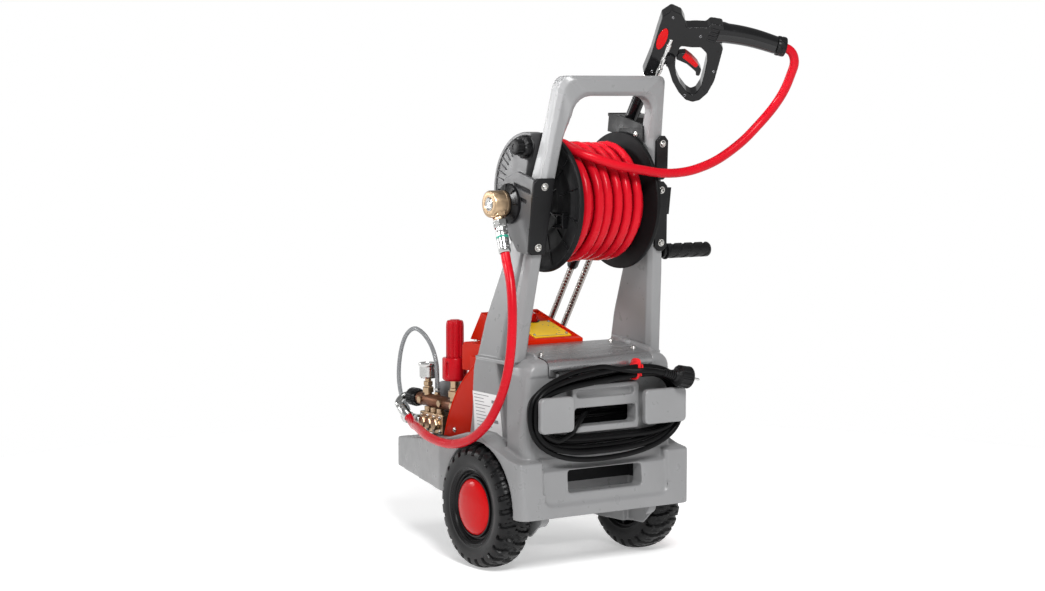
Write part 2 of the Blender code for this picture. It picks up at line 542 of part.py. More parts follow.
# ---------------------------------------------------------------- hose drum
def drum():
    axle = (0, DRUM_Y, DRUM_Z)
    across = (1, 0, 0)
    turned("drum_core", axle, across, [(-0.1480, 0), (-0.1480, 0.009), (-0.0775, 0.009), (-0.0775, 0.0550),
                                       (0.0775, 0.0550), (0.0775, 0.020), (0.0860, 0.020), (0.0860, 0.009),
                                       (0.1615, 0.009), (0.1615, 0)], MAT["black"], 24)
    for sign, label in ((1, "left"), (-1, "right")):
        bore = 0.0203 if sign > 0 else 0.0093
        flange = [(0.0778, bore), (0.0850, bore), (0.0850, 0.050), (0.0815, 0.058), (0.0815, 0.113),
                  (0.0850, 0.117), (0.0850, FLANGE_R), (0.0778, FLANGE_R)]
        turned("drum_flange_" + label, axle, (sign, 0, 0), flange, MAT["black_gloss"], 32)
    wound = [(-0.0774, 0.0553), (0.0774, 0.0553), (0.0774, WOUND_R - 0.006), (0.070, WOUND_R),
             (-0.070, WOUND_R), (-0.0774, WOUND_R - 0.006)]
    turned("hose_winding", axle, across, wound, MAT["hose"], 32)
    # crank arm on the right-hand shaft end
    arm = []
    steps = 10
    span = Vector((CRANK_Y - DRUM_Y, CRANK_Z - DRUM_Z))
    heading = math.atan2(span.y, span.x)
    for k in range(steps + 1):
        angle = heading + math.pi / 2 + math.pi * k / steps
        arm.append((DRUM_Y + 0.014 * math.cos(angle), DRUM_Z + 0.014 * math.sin(angle)))
    for k in range(steps + 1):
        angle = heading - math.pi / 2 + math.pi * k / steps
        arm.append((CRANK_Y + 0.012 * math.cos(angle), CRANK_Z + 0.012 * math.sin(angle)))
    crank = prism("crank_arm", "X", -0.1545, -0.1483, arm, MAT["black"])
    pin = rod("crank_pin_guide", (0, CRANK_Y, CRANK_Z), across, -0.2480, -0.150, 0.0050, None, 14)
    combine(crank, "UNION", pin)
    grip = [(-0.2550, 0), (-0.2550, 0.0110), (-0.2520, 0.0137), (-0.1580, 0.0137), (-0.1550, 0.0115),
            (-0.1550, 0.0053), (-0.2484, 0.0053), (-0.2484, 0)]
    turned("crank_grip", (0, CRANK_Y, CRANK_Z), across, grip, MAT["black"], 24)


def swivel():
    centre = (0, DRUM_Y, DRUM_Z)
    across = (1, 0, 0)
    turned("swivel_hub", centre, across, [(0.1515, 0.0093), (0.1620, 0.0093), (0.1620, 0.0240),
                                          (0.1575, 0.0330), (0.1515, 0.0350)], MAT["black"], 24)
    profile = [(0.1623, 0), (0.1623, 0.0215), (0.1640, 0.0235), (0.1925, 0.0235), (0.1945, 0.0215),
               (0.1945, 0.012), (0.1925, 0.012), (0.1925, 0.009), (0.1945, 0.0075), (0.1945, 0)]
    body = turned("swivel_body", centre, across, profile, MAT["brass"], 20)
    combine(body, "UNION", rod("port_guide", PORT_AT, PORT_WAY, 0.010, 0.0300, 0.0075, None, 14))
    turned("supply_ferrule", PORT_AT, PORT_WAY,
           [(0.0303, 0), (0.0303, 0.0100), (0.0323, 0.0112), (0.0443, 0.0112), (0.0463, 0.0092),
            (0.0493, 0.0092), (0.0513, 0.0104), (0.0885, 0.0104), (0.0905, 0.0092), (0.0905, 0)],
           MAT["steel"], 16)


# ---------------------------------------------------------------- brackets
def surface_y(z):
    """Rear face of the uprights, straight between the frame's sections."""
    levels = [(0.3723, 0.060), (0.440, 0.069), (0.520, 0.081), (0.575, 0.089), (0.628, 0.096), (0.690, 0.105),
              (0.760, 0.116), (0.800, 0.1345)]
    for (z0, y0), (z1, y1) in zip(levels, levels[1:]):
        if z0 <= z <= z1:
            return y0 + (y1 - y0) * (z - z0) / (z1 - z0)
    return levels[-1][1]


def leaning_plate(name, low, high, half, thick, side_sign, mat):
    """Round-ended plate on an upright's rear face, leaning with it."""
    def middle(z):
        return side_sign * (0.1312 - (z - 0.5766) * 0.096)
    outline = []
    for k in range(9):
        angle = math.pi + math.pi * k / 8
        outline.append((middle(low) + half * math.cos(angle), low + half + half * math.sin(angle)))
    for k in range(9):
        angle = math.pi * k / 8
        outline.append((middle(high) + half * math.cos(angle), high - half + half * math.sin(angle)))
    rings = [[(x, surface_y(z) + offset, z) for x, z in outline] for offset in (0.0006, 0.0006 + thick)]
    return loft(name, rings, mat)


def brackets():
    leaning_plate("bracket_right_upper", 0.686, 0.764, 0.0125, 0.0045, -1, MAT["black"])
    lower = leaning_plate("bracket_right_lower", 0.558, 0.683, 0.0135, 0.0045, -1, MAT["black"])
    # its forward cheek carries the drum's right-hand bearing
    cheek = [(0.016, 0.634), (0.026, 0.624), (0.0985, 0.624), (0.1035, 0.672), (0.026, 0.672), (0.016, 0.662)]
    tab = []
    for offset in (0.0007, 0.0050):
        tab.append([(x, surface_y(z) + offset, z) for x, z in
                    ((-0.1440, 0.624), (-0.1260, 0.624), (-0.1260, 0.672), (-0.1440, 0.672))])
    cheek_guide = prism("right_cheek_guide", "X", -0.1440, -0.1402, cheek, None)
    combine(lower, "UNION", cheek_guide, loft("tab_guide", tab, None))
    combine(lower, "DIFFERENCE", rod("right_bearing_guide", (0, DRUM_Y, DRUM_Z), (1, 0, 0), -0.15, -0.135,
                                     0.0094, None, 20))
    # left bearing bracket: rear strip and outer cheek, bent round the upright
    cheek = [(0.018, 0.600), (0.060, 0.5640), (0.0955, 0.5610), (0.1130, 0.690), (0.0600, 0.7020),
             (0.0150, 0.690)]
    rings = [[(x, y, z) for y, z in cheek] for x in (0.1455, 0.1512)]
    body = loft("bearing_bracket_left", rings, MAT["charcoal"])
    strip = []
    for offset in (0.0007, 0.0065):
        strip.append([(x, surface_y(z) + offset, z) for x, z in
                      ((0.1160, 0.5630), (0.1500, 0.5630), (0.1500, 0.6900), (0.1090, 0.6900))])
    combine(body, "UNION", loft("strip_guide", strip, None))
    combine(body, "DIFFERENCE", rod("bearing_hole_guide", (0, DRUM_Y, DRUM_Z), (1, 0, 0), 0.13, 0.17, 0.0094,
                                    None, 20))
    for i, z in enumerate((0.668, 0.682)):
        slot = rounded([(0.030, z - 0.003), (0.085, z - 0.003), (0.085, z + 0.003), (0.030, z + 0.003)],
                       0.0025, 2)
        combine(body, "DIFFERENCE", prism("louvre_guide_" + str(i), "X", 0.1485, 0.16, slot, None))


def brake():
    """Quarter-round housing of the drum brake, ahead of the left upright, with its knob."""
    centre = (0.045, 0.668)
    arc = []
    for k in range(13):
        angle = math.radians(82 + (200 - 82) * k / 12)
        arc.append((centre[0] + 0.1040 * math.cos(angle), centre[1] + 0.1040 * math.sin(angle)))
    outline = arc + [(-0.040, 0.620), (0.010, 0.655), (0.0385, 0.690)]
    prism("brake_housing", "X", 0.1010, 0.1240, outline, MAT["silver_plastic"])
    turned("brake_knob", (0, 0.0450, 0.7460), (1, 0, 0),
           [(0.1243, 0), (0.1243, 0.0200), (0.1330, 0.0200), (0.1350, 0.0180), (0.1360, 0.0140),
            (0.1480, 0.0140), (0.1500, 0.0120), (0.1500, 0)], MAT["black"], 24)


# ---------------------------------------------------------------- gun and lances
def lance_axis():
    return Vector((0, math.sin(LANCE_LEAN), math.cos(LANCE_LEAN)))


def lances():
    up = lance_axis()
    turned("lance_sleeve", LANCE_POINT, up,
           [(-0.325, 0.0063), (-0.325, 0.0095), (-0.321, 0.0115), (0.085, 0.0115), (0.090, 0.0100),
            (0.090, 0.0063)], MAT["black"], 16)
    turned("gun_lance", LANCE_POINT, up,
           [(-0.610, 0), (-0.610, 0.0070), (-0.605, 0.0085), (-0.575, 0.0085), (-0.572, 0.0060),
            (0.1030, 0.0060), (0.1030, 0)], MAT["chrome"], 14)
    turned("spare_lance", SPARE_POINT, up,
           [(-0.600, 0), (-0.600, 0.0080), (-0.595, 0.0095), (-0.555, 0.0095), (-0.552, 0.0060),
            (0.0400, 0.0060), (0.0420, 0.0090), (0.0700, 0.0090), (0.0700, 0)], MAT["chrome"], 14)
    holder = block("lance_holder", (-0.1620, -0.020, -0.0160), (-0.0866, 0.034, 0.0160), MAT["black"])
    holder.location = (0, 0.014, 0.7835)
    holder.rotation_euler = (-math.radians(8), 0, 0)
    arm = block("holder_arm_guide", (-0.0883, 0.028, 0.7540), (-0.0855, 0.1000, 0.7765), None)
    combine(holder, "UNION", arm)
    for i, point in enumerate((LANCE_POINT, SPARE_POINT)):
        radius = 0.0118 if i == 0 else 0.0063
        hole = rod("lance_hole_guide_" + str(i), point, up, -0.10, 0.10, radius, None, 20)
        combine(holder, "DIFFERENCE", hole)


def spray_gun():
    hand = empty("gun_frame", LANCE_POINT, (-LANCE_LEAN, 0, GUN_TURN), "ZYX")
    hand.parent = FRAME
    outer = [(-0.016, 0.190), (-0.018, 0.222), (-0.006, 0.239), (0.013, 0.236), (0.023, 0.226),
             (0.027, 0.214), (0.045, 0.221), (0.064, 0.226), (0.067, 0.234), (0.089, 0.237),
             (0.092, 0.230), (0.188, 0.239),
             (0.193, 0.206), (0.104, 0.195), (0.108, 0.165), (0.112, 0.130), (0.109, 0.104), (0.100, 0.086),
             (0.089, 0.079), (0.076, 0.080), (0.060, 0.090), (0.042, 0.107), (0.028, 0.127), (0.0170, 0.140),
             (0.0130, 0.1035), (-0.0130, 0.1035), (-0.0125, 0.150)]
    body = prism("gun_body", "Y", -0.0125, 0.0125, rounded(outer, 0.006, 1), MAT["black_gloss"])
    window = [(0.031, 0.178), (0.050, 0.181), (0.066, 0.186), (0.080, 0.178), (0.086, 0.163), (0.090, 0.140),
              (0.093, 0.115), (0.090, 0.098), (0.083, 0.092), (0.072, 0.096), (0.056, 0.108), (0.044, 0.122),
              (0.036, 0.138), (0.031, 0.155)]
    combine(body, "DIFFERENCE", set_on(prism("gun_window_guide", "Y", -0.02, 0.02, window, None), hand))
    set_on(body, hand)
    ring = turned("gun_swivel_ring", (0.1935, 0, 0.2235), (0.985, 0, 0.07),
                  [(0.0, 0), (0.0, 0.0150), (0.003, 0.0175), (0.014, 0.0175), (0.017, 0.0150), (0.017, 0)],
                  MAT["black"], 24)
    set_on(ring, hand)
    pivot = empty("trigger_pivot", (0.0400, 0, 0.1560))
    pivot.parent = hand
    lever = [(-0.0065, -0.0070), (-0.0060, 0.0040), (0.0050, 0.0080), (0.0200, 0.0010), (0.0350, -0.0080),
             (0.0420, -0.0150), (0.0430, -0.0260), (0.0390, -0.0265), (0.0370, -0.0190), (0.0290, -0.0150),
             (0.0160, -0.0090), (0.0030, -0.0070)]
    set_on(prism("gun_trigger", "Y", -0.0075, 0.0075, lever, MAT["red_gloss"]), pivot)
    latch = rod("gun_latch", (0.0225, 0, 0.1500), (0, -1, 0), 0.0128, 0.0200, 0.0085, MAT["black"], 18, 0.001)
    lug = block("latch_lug_guide", (-0.0030, -0.0190, -0.0150), (0.0030, -0.0130, 0.0), None)
    lug.location = (0.0225, 0, 0.1500)
    set_on(lug, hand)
    combine(latch, "UNION", lug)
    set_on(latch, hand)


GUN_HOSE_ROUTE = [(0.0660, -0.0665, 0.7060), (0.0660, -0.0610, 0.7145), (0.0658, -0.0406, 0.7369),
                  (0.0655, -0.0057, 0.7570), (0.0650, 0.0340, 0.7640), (0.0640, 0.0737, 0.7570),
                  (0.0620, 0.1035, 0.7405), (0.0400, 0.1240, 0.7290), (0.0000, 0.1400, 0.7150),
                  (-0.0450, 0.1520, 0.7060), (-0.0850, 0.1570, 0.7000), (-0.1200, 0.1600, 0.7000),
                  (-0.1550, 0.1650, 0.7060), (-0.1960, 0.1730, 0.7220), (-0.2400, 0.1820, 0.7510),
                  (-0.2750, 0.1890, 0.7830), (-0.2980, 0.2030, 0.8150), (-0.3070, 0.2210, 0.8450),
                  (-0.3095, 0.2360, 0.8740), (-0.3105, 0.2450, 0.8960), (-0.3075, 0.2482, 0.9110),
                  (-0.3007, 0.2469, 0.9163), (-0.2904, 0.2418, 0.9187)]


# ---------------------------------------------------------------- mains cable
HANK_MIDDLE_Z = 0.287
HANK_FRONT, HANK_BACK = 0.0996, 0.1276
GLAND_Y, GLAND_Z = 0.050, 0.285
CABLE_TAIL_ROUTE = [(-0.1095, GLAND_Y, GLAND_Z), (-0.1000, GLAND_Y, GLAND_Z), (-0.0600, 0.0520, 0.2850),
                    (0.0000, 0.0700, 0.2820), (0.0280, 0.0900, 0.2790), (0.0480, 0.1075, 0.2755),
                    (0.0600, 0.1172, 0.2700), (0.0700, 0.1205, 0.2615), (0.0760, 0.1205, 0.2530),
                    (0.0790, 0.1205, 0.2475)]
PLUG_AT, PLUG_WAY = (-0.090, 0.150, 0.3495), (-0.970, 0.0, -0.222)
PLUG_LEAD_ROUTE = [(-0.0300, 0.1318, 0.3530), (-0.0400, 0.1402, 0.3535), (-0.0560, 0.1478, 0.3540),
                   (-0.0740, 0.1500, 0.3530), along_way(PLUG_AT, PLUG_WAY, 0.0016),
                   along_way(PLUG_AT, PLUG_WAY, 0.0116)]


def hank_line(reach, top, bottom, power):
    """Closed loop of wound cable, pulled to a soft rectangle by the two hooks."""
    out = []
    for k in range(36):
        angle = math.tau * k / 36
        c, s = math.cos(angle), math.sin(angle)
        height = (top if s >= 0 else bottom) - HANK_MIDDLE_Z
        out.append((reach * math.copysign(abs(c) ** power, c), HANK_MIDDLE_Z + height * abs(s) ** power))
    return out


def mains_cable():
    turned("cable_gland", (0, GLAND_Y, GLAND_Z), (1, 0, 0),
           [(-0.1290, 0), (-0.1290, 0.0062), (-0.1130, 0.0062), (-0.1100, 0.0050), (-0.1100, 0)],
           MAT["black"], 16)
    inner = hank_line(0.1415, 0.3335, 0.2440, 0.42)
    outer = hank_line(0.1650, 0.3720, 0.1920, 0.62)
    verts = [(x, y, z) for ring, y in ((inner, HANK_FRONT), (inner, HANK_BACK), (outer, HANK_BACK),
                                       (outer, HANK_FRONT)) for x, z in ring]
    count = len(inner)
    faces = []
    for row in range(4):
        after = (row + 1) % 4
        for i in range(count):
            j = (i + 1) % count
            faces.append([row * count + i, row * count + j, after * count + j, after * count + i])
    new_object("cable_hank", verts, faces, MAT["cable"])
    cord_tube("cable_tail", CABLE_TAIL_ROUTE, CABLE_R, MAT["cable"], 2, 1.2)
    cord_tube("plug_lead", PLUG_LEAD_ROUTE, CABLE_R, MAT["cable"], 2, 1.2)
    turned("mains_plug", PLUG_AT, PLUG_WAY,
           [(0.012, 0), (0.012, 0.0062), (0.026, 0.0080), (0.036, 0.0110), (0.040, 0.0180), (0.060, 0.0195),
            (0.064, 0.0175), (0.064, 0)], MAT["black"], 20)


def main():
    covers_and_plates()
    chassis()
    handle_frame()
    wheels()
    foot()
    motor()
    hood()
    switch_box()
    pump()
    hoses()
    drum()
    swivel()
    brackets()
    brake()
    lances()
    spray_gun()
    cord_tube("hose_to_gun", GUN_HOSE_ROUTE, HOSE_R, MAT["hose"], 2, 1.0)
    mains_cable()
    FRAME.location = (-BASE_CENTRE_X, -BASE_CENTRE_Y, 0)


clear_scene()
MAT = {
    "grey": material("grey_plastic", (0.30, 0.30, 0.31), 0.42),
    "silver_plastic": material("silver_plastic", (0.36, 0.36, 0.37), 0.45),
    "sheet": material("silver_sheet", (0.55, 0.55, 0.56), 0.35, 0.6),
    "steel": material("zinc_steel", (0.60, 0.60, 0.61), 0.30, 1.0),
    "chrome": material("chrome", (0.75, 0.75, 0.76), 0.15, 1.0),
    "brass": material("brass", (0.70, 0.52, 0.26), 0.32, 1.0),
    "bronze": material("dark_brass", (0.30, 0.16, 0.09), 0.38, 0.9),
    "alloy": material("cast_alloy", (0.38, 0.38, 0.39), 0.50, 0.8),
    "black": material("black_plastic", (0.02, 0.02, 0.02), 0.50),
    "black_gloss": material("black_gloss_plastic", (0.012, 0.012, 0.013), 0.28),
    "charcoal": material("charcoal_plastic", (0.10, 0.10, 0.11), 0.45),
    "rubber": material("rubber", (0.02, 0.02, 0.02), 0.75),
    "tyre": material("tyre_rubber", (0.02, 0.02, 0.02), 0.70),
    "red": material("red_paint", (0.62, 0.03, 0.015), 0.38),
    "red_gloss": material("red_plastic", (0.60, 0.02, 0.03), 0.25),
    "yellow": material("yellow_plate", (0.85, 0.62, 0.05), 0.45),
    "hose": material("red_hose", (0.72, 0.02, 0.04), 0.35),
    "cable": material("cable_rubber", (0.015, 0.015, 0.015), 0.50),
    "clear": material("clear_tube", (0.70, 0.72, 0.72), 0.20),
    "glass": material("glass", (0.85, 0.88, 0.88), 0.05),
}
FRAME = empty("machine_frame", (0, 0, 0))
main()
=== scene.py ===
"""Looks of the trolley pressure washer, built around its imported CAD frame."""
import json
import math

import bmesh
import bpy
from mathutils import Matrix, Vector

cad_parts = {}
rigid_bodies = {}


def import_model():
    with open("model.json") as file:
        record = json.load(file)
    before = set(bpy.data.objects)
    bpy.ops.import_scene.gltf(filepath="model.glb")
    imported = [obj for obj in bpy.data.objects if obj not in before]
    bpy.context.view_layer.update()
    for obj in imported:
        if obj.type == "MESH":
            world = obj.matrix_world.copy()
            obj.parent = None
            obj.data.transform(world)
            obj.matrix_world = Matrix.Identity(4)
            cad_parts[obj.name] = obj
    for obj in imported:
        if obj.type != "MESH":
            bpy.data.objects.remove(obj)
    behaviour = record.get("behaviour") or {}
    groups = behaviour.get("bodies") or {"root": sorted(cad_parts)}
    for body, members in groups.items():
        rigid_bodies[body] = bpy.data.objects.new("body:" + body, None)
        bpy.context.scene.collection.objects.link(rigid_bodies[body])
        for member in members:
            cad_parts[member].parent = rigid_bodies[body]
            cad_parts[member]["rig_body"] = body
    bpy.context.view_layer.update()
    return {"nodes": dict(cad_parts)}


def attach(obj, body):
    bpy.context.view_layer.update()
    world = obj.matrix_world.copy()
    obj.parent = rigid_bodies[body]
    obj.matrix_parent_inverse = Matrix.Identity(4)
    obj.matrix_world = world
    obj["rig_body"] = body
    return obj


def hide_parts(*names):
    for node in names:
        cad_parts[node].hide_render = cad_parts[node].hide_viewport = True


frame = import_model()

NODES = frame["nodes"]
SHIFT = Vector((0.0454, 0.0919, 0.0))       # the ground point midway between the wheels
CAMERA_AT = (2.3003, 3.3234, 0.843)         # from that point, as are all positions below

DRUM = (0.0, 0.034, 0.648)
CRANK = (0.0, 0.072, 0.556)
WHEEL = (0.1635, -0.024, 0.11)              # the left wheel's centre; the right one mirrors it
MOTOR = (0.01, 0, 0.255)
PUMP_X = 0.09
GAUGE_Y = -0.343
REGULATOR_Y = -0.246
MANIFOLD_Z = 0.2575
LANCE_LEAN = math.radians(33.6)
LANCE_POINT = Vector((-0.105, 0.034, 0.787))
SPARE_POINT = Vector((-0.1405, 0.034, 0.787))
GUN_TURN = math.radians(151.6)
HOSE_R = 0.0082
CABLE_R = 0.0048
ACROSS, BACK, UP = (1, 0, 0), (0, 1, 0), (0, 0, 1)


# ---------------------------------------------------------------- materials
class Graph:
    """Small helper that adds and links shader nodes."""

    def __init__(self, name):
        self.mat = bpy.data.materials.new(name)
        self.mat.use_nodes = True
        self.tree = self.mat.node_tree
        self.shader = self.tree.nodes["Principled BSDF"]
        self.coords = self.tree.nodes.new("ShaderNodeTexCoord").outputs["Object"]

    def node(self, kind, links=(), **values):
        made = self.tree.nodes.new(kind)
        for key, value in values.items():
            if hasattr(made, key):
                setattr(made, key, value)
            else:
                made.inputs[key.replace("_", " ")].default_value = value
        for socket, source in links:
            self.tree.links.new(source, made.inputs[socket])
        return made

    def stretched(self, scale):
        return self.node("ShaderNodeMapping", [("Vector", self.coords)], Scale=scale).outputs["Vector"]

    def noise(self, scale, detail=3.0, stretch=None):
        source = self.stretched(stretch) if stretch else self.coords
        return self.node("ShaderNodeTexNoise", [("Vector", source)], Scale=scale,
            Detail=detail).outputs["Fac"]

    def ramp(self, source, low, high, start=0.35, end=0.65):
        ramp = self.node("ShaderNodeValToRGB", [("Fac", source)])
        ramp.color_ramp.elements[0].position, ramp.color_ramp.elements[1].position = start, end
        ramp.color_ramp.elements[0].color = (*low, 1.0)
        ramp.color_ramp.elements[1].color = (*high, 1.0)
        return ramp.outputs["Color"]

    def span(self, source, low, high, start=0.3, end=0.7):
        made = self.node("ShaderNodeMapRange", [("Value", source)])
        for socket, value in (("From Min", start), ("From Max", end), ("To Min", low), ("To Max", high)):
            made.inputs[socket].default_value = value
        return made.outputs["Result"]

    def mix(self, factor, low, high):
        made = self.tree.nodes.new("ShaderNodeMix")
        made.data_type = "RGBA"
        for socket, source in ((0, factor), (6, low), (7, high)):
            if isinstance(source, bpy.types.NodeSocket):
                self.tree.links.new(source, made.inputs[socket])
            else:
                made.inputs[socket].default_value = source
        return made.outputs[2]

    def bump(self, source, strength, distance, under=None):
        links = [("Height", source)] + ([("Normal", under)] if under else [])
        return self.node("ShaderNodeBump", links, Strength=strength, Distance=distance).outputs["Normal"]

    def plug(self, socket, source):
        self.tree.links.new(source, self.shader.inputs[socket])


def scaled(colour, factor):
    return tuple(min(1.0, c * factor) for c in colour)


def surface(name, colour, rough, metal=0.0, grain=700.0, depth=0.0002, strength=0.25, mottle=0.1,
        spread=0.07, stretch=None, coat=0.0, bands=None, wear=0.0, specular=0.5):
    """Principled surface with mottled colour, uneven roughness, fine relief and worn edges."""
    g = Graph(name)
    cloud = g.noise(9.0, 5.0)
    tint = g.ramp(cloud, scaled(colour, 1 - mottle), scaled(colour, 1 + mottle))
    if wear:
        edge = g.node("ShaderNodeNewGeometry").outputs["Pointiness"]
        tint = g.mix(g.span(edge, 0.0, wear, 0.52, 0.6), tint, (*scaled(colour, 1.6), 1.0))
    g.plug("Base Color", tint)
    g.plug("Roughness", g.span(g.noise(60.0, 4.0, stretch), rough - spread, rough + spread))
    relief = g.bump(g.noise(grain, 3.0, stretch), strength, depth)
    if bands:
        axis, count, band_depth = bands
        wave = g.node("ShaderNodeTexWave", [("Vector", g.coords)], wave_type="BANDS", bands_direction=axis,
            Scale=count, Distortion=0.6, Detail=1.0)
        relief = g.bump(wave.outputs["Fac"], 0.8, band_depth, relief)
    g.plug("Normal", relief)
    g.shader.inputs["Metallic"].default_value = metal
    g.shader.inputs["Coat Weight"].default_value = coat
    g.shader.inputs["Coat Roughness"].default_value = 0.12
    g.shader.inputs["Specular IOR Level"].default_value = specular
    return g.mat


def clear(name, colour, rough, transmission):
    g = Graph(name)
    g.plug("Base Color", g.ramp(g.noise(14.0), scaled(colour, 0.93), colour))
    g.plug("Roughness", g.span(g.noise(80.0), rough, rough + 0.05))
    g.plug("Normal", g.bump(g.noise(300.0), 0.08, 0.0002))
    g.shader.inputs["Transmission Weight"].default_value = transmission
    g.shader.inputs["IOR"].default_value = 1.45
    return g.mat


def glowing(name, colour, glow):
    """Pale studio floor with a faint glow of its own, so that it comes out an even white."""
    g = Graph(name)
    g.plug("Base Color", g.ramp(g.noise(3.0), (colour - 0.006,) * 3, (colour + 0.006,) * 3))
    g.plug("Roughness", g.span(g.noise(20.0), 0.8, 0.9))
    g.shader.inputs["Emission Color"].default_value = (1, 1, 1, 1)
    g.shader.inputs["Emission Strength"].default_value = glow
    return g.mat


def materials():
    return {
        "grey": surface("grey_plastic", (0.205, 0.206, 0.209), 0.33, grain=1500.0, strength=0.14,
            mottle=0.035, specular=0.42),
        "sheet": surface("silver_sheet", (0.31, 0.31, 0.315), 0.3, 0.75, grain=260.0, depth=0.0001,
            strength=0.2, mottle=0.05, stretch=(0.6, 6.0, 6.0)),
        "steel": surface("zinc_steel", (0.52, 0.51, 0.49), 0.3, 1.0, grain=420.0, depth=0.0001, mottle=0.1),
        "chrome": surface("chrome", (0.34, 0.31, 0.29), 0.18, 1.0, grain=900.0, depth=0.00005, mottle=0.12,
            bands=("Z", 42.0, 0.0012)),
        "polished": surface("polished_steel", (0.56, 0.56, 0.55), 0.16, 1.0, grain=500.0, depth=0.00005,
            mottle=0.1),
        "brass": surface("brass", (0.46, 0.33, 0.21), 0.34, 1.0, grain=500.0, depth=0.0001, mottle=0.2,
            bands=("Z", 120.0, 0.0001)),
        "bronze": surface("dark_brass", (0.15, 0.062, 0.032), 0.4, 0.85, grain=240.0, depth=0.0003,
            strength=0.4, mottle=0.25),
        "alloy": surface("cast_alloy", (0.22, 0.22, 0.23), 0.5, 0.9, grain=260.0, depth=0.0005,
            strength=0.5, mottle=0.15),
        "black": surface("black_plastic", (0.0055, 0.0055, 0.006), 0.34, grain=1100.0, strength=0.3,
            mottle=0.25, specular=0.2),
        "gloss": surface("black_gloss_plastic", (0.0045, 0.0045, 0.005), 0.14, grain=500.0, strength=0.1,
            mottle=0.25, spread=0.05, specular=0.26),
        "charcoal": surface("charcoal_plastic", (0.034, 0.034, 0.036), 0.36, grain=1100.0, strength=0.35,
            mottle=0.12, specular=0.55),
        # charcoal made lighter to stand in for the sheen on the left bracket's face: painted sheen
        "satin": surface("charcoal_painted_sheen", (0.05, 0.05, 0.052), 0.34, grain=1100.0, strength=0.35, mottle=0.16,
            specular=0.55),
        "housing": surface("housing_plastic", (0.068, 0.068, 0.07), 0.34, grain=1300.0, strength=0.18,
            mottle=0.1),
        "grip": surface("grip_gloss", (0.0045, 0.0045, 0.005), 0.1, grain=500.0, strength=0.05, mottle=0.25,
            spread=0.04, specular=0.42),
        "matt": surface("matt_black", (0.006, 0.006, 0.0064), 0.55, grain=700.0, strength=0.3, mottle=0.2,
            specular=0.12),
        "rubber": surface("rubber", (0.01, 0.01, 0.01), 0.7, grain=500.0, depth=0.0004, strength=0.4,
            mottle=0.3, specular=0.2),
        "tyre": surface("tyre_rubber", (0.006, 0.006, 0.0064), 0.36, grain=380.0, depth=0.0004,
            strength=0.4, mottle=0.3, wear=0.4, specular=0.2),
        "red": surface("red_paint", (0.5, 0.013, 0.0008), 0.36, grain=330.0, depth=0.0003, strength=0.14,
            mottle=0.06, specular=0.05),
        "crimson": surface("red_plastic", (0.46, 0.0045, 0.011), 0.28, grain=700.0, strength=0.14,
            mottle=0.08, specular=0.14),
        "cap": surface("red_cap", (0.46, 0.003, 0.0045), 0.15, grain=200.0, depth=0.0002, strength=0.05,
            mottle=0.05, specular=0.13),
        "yellow": surface("yellow_plate", (0.78, 0.5, 0.01), 0.4, grain=400.0, strength=0.1, mottle=0.04,
            specular=0.3),
        "hose": surface("red_hose", (0.46, 0.004, 0.012), 0.24, grain=420.0, depth=0.0003, strength=0.22,
            mottle=0.1, specular=0.13),
        "cable": surface("cable_rubber", (0.0035, 0.0035, 0.0037), 0.34, grain=600.0, depth=0.0003,
            strength=0.3, mottle=0.3, specular=0.1),
        "tie": surface("red_tie", (0.7, 0.01, 0.014), 0.45, grain=900.0, strength=0.3, mottle=0.08,
            specular=0.25),
        "plate": surface("white_plate", (0.74, 0.74, 0.74), 0.42, grain=300.0, strength=0.05, mottle=0.02),
        "ink": surface("plate_print", (0.16, 0.16, 0.17), 0.5, grain=300.0, strength=0.05, mottle=0.05),
        "green": surface("green_ring", (0.01, 0.2, 0.14), 0.4, grain=500.0, strength=0.2, mottle=0.1),
        # plain dark for the terminal box and the hood seam; also the colour of the sheets that paint shade
        # inside the tub and the louvres
        "dark": surface("dark_plastic_and_painted_shade", (0.01, 0.01, 0.011), 0.65, grain=300.0, strength=0.3, mottle=0.2,
            specular=0.2),
        "clear": clear("clear_tube", (0.3, 0.31, 0.32), 0.16, 0.62),
        "glass": clear("glass", (0.96, 0.98, 0.98), 0.02, 1.0),
    }


M = materials()


# ---------------------------------------------------------------- mesh helpers
def add(name, verts, faces, mat, body="machine", smooth=35.0, local=False):
    """A mesh piece, drawn in plan positions; a local one has its own axes and is placed later."""
    mesh = bpy.data.meshes.new(name)
    mesh.from_pydata([tuple(v) for v in verts], [], faces)
    bm = bmesh.new()
    bm.from_mesh(mesh)
    bmesh.ops.remove_doubles(bm, verts=bm.verts, dist=1e-6)
    bmesh.ops.recalc_face_normals(bm, faces=bm.faces)
    bm.to_mesh(mesh)
    bm.free()
    mesh.shade_smooth()
    if smooth:
        mesh.set_sharp_from_angle(angle=math.radians(smooth))
    obj = bpy.data.objects.new(name, mesh)
    bpy.context.scene.collection.objects.link(obj)
    if mat is not None:
        mesh.materials.append(mat)
    obj["body"] = body
    if not local:
        obj.location = SHIFT
    return obj


def along(axis, value, a, b):
    """The point at a value on one axis and a, b on the other two."""
    return {"X": (value, a, b), "Y": (a, value, b), "Z": (a, b, value)}[axis]


def ring_faces(count, levels, start=0):
    faces = []
    for level in range(levels - 1):
        low = start + level * count
        for i in range(count):
            j = (i + 1) % count
            faces.append([low + i, low + j, low + count + j, low + count + i])
    return faces


def loft(name, rings, mat, **kw):
    """A closed skin over rings of equal length."""
    count = len(rings[0])
    verts = [p for ring in rings for p in ring]
    faces = ring_faces(count, len(rings))
    faces.append(list(range(count))[::-1])
    faces.append([(len(rings) - 1) * count + i for i in range(count)])
    return add(name, verts, faces, mat, **kw)


def prism(name, axis, low, high, outline, mat, **kw):
    """An outline pushed along one axis from low to high."""
    return loft(name, [[along(axis, v, a, b) for a, b in outline] for v in (low, high)], mat, **kw)


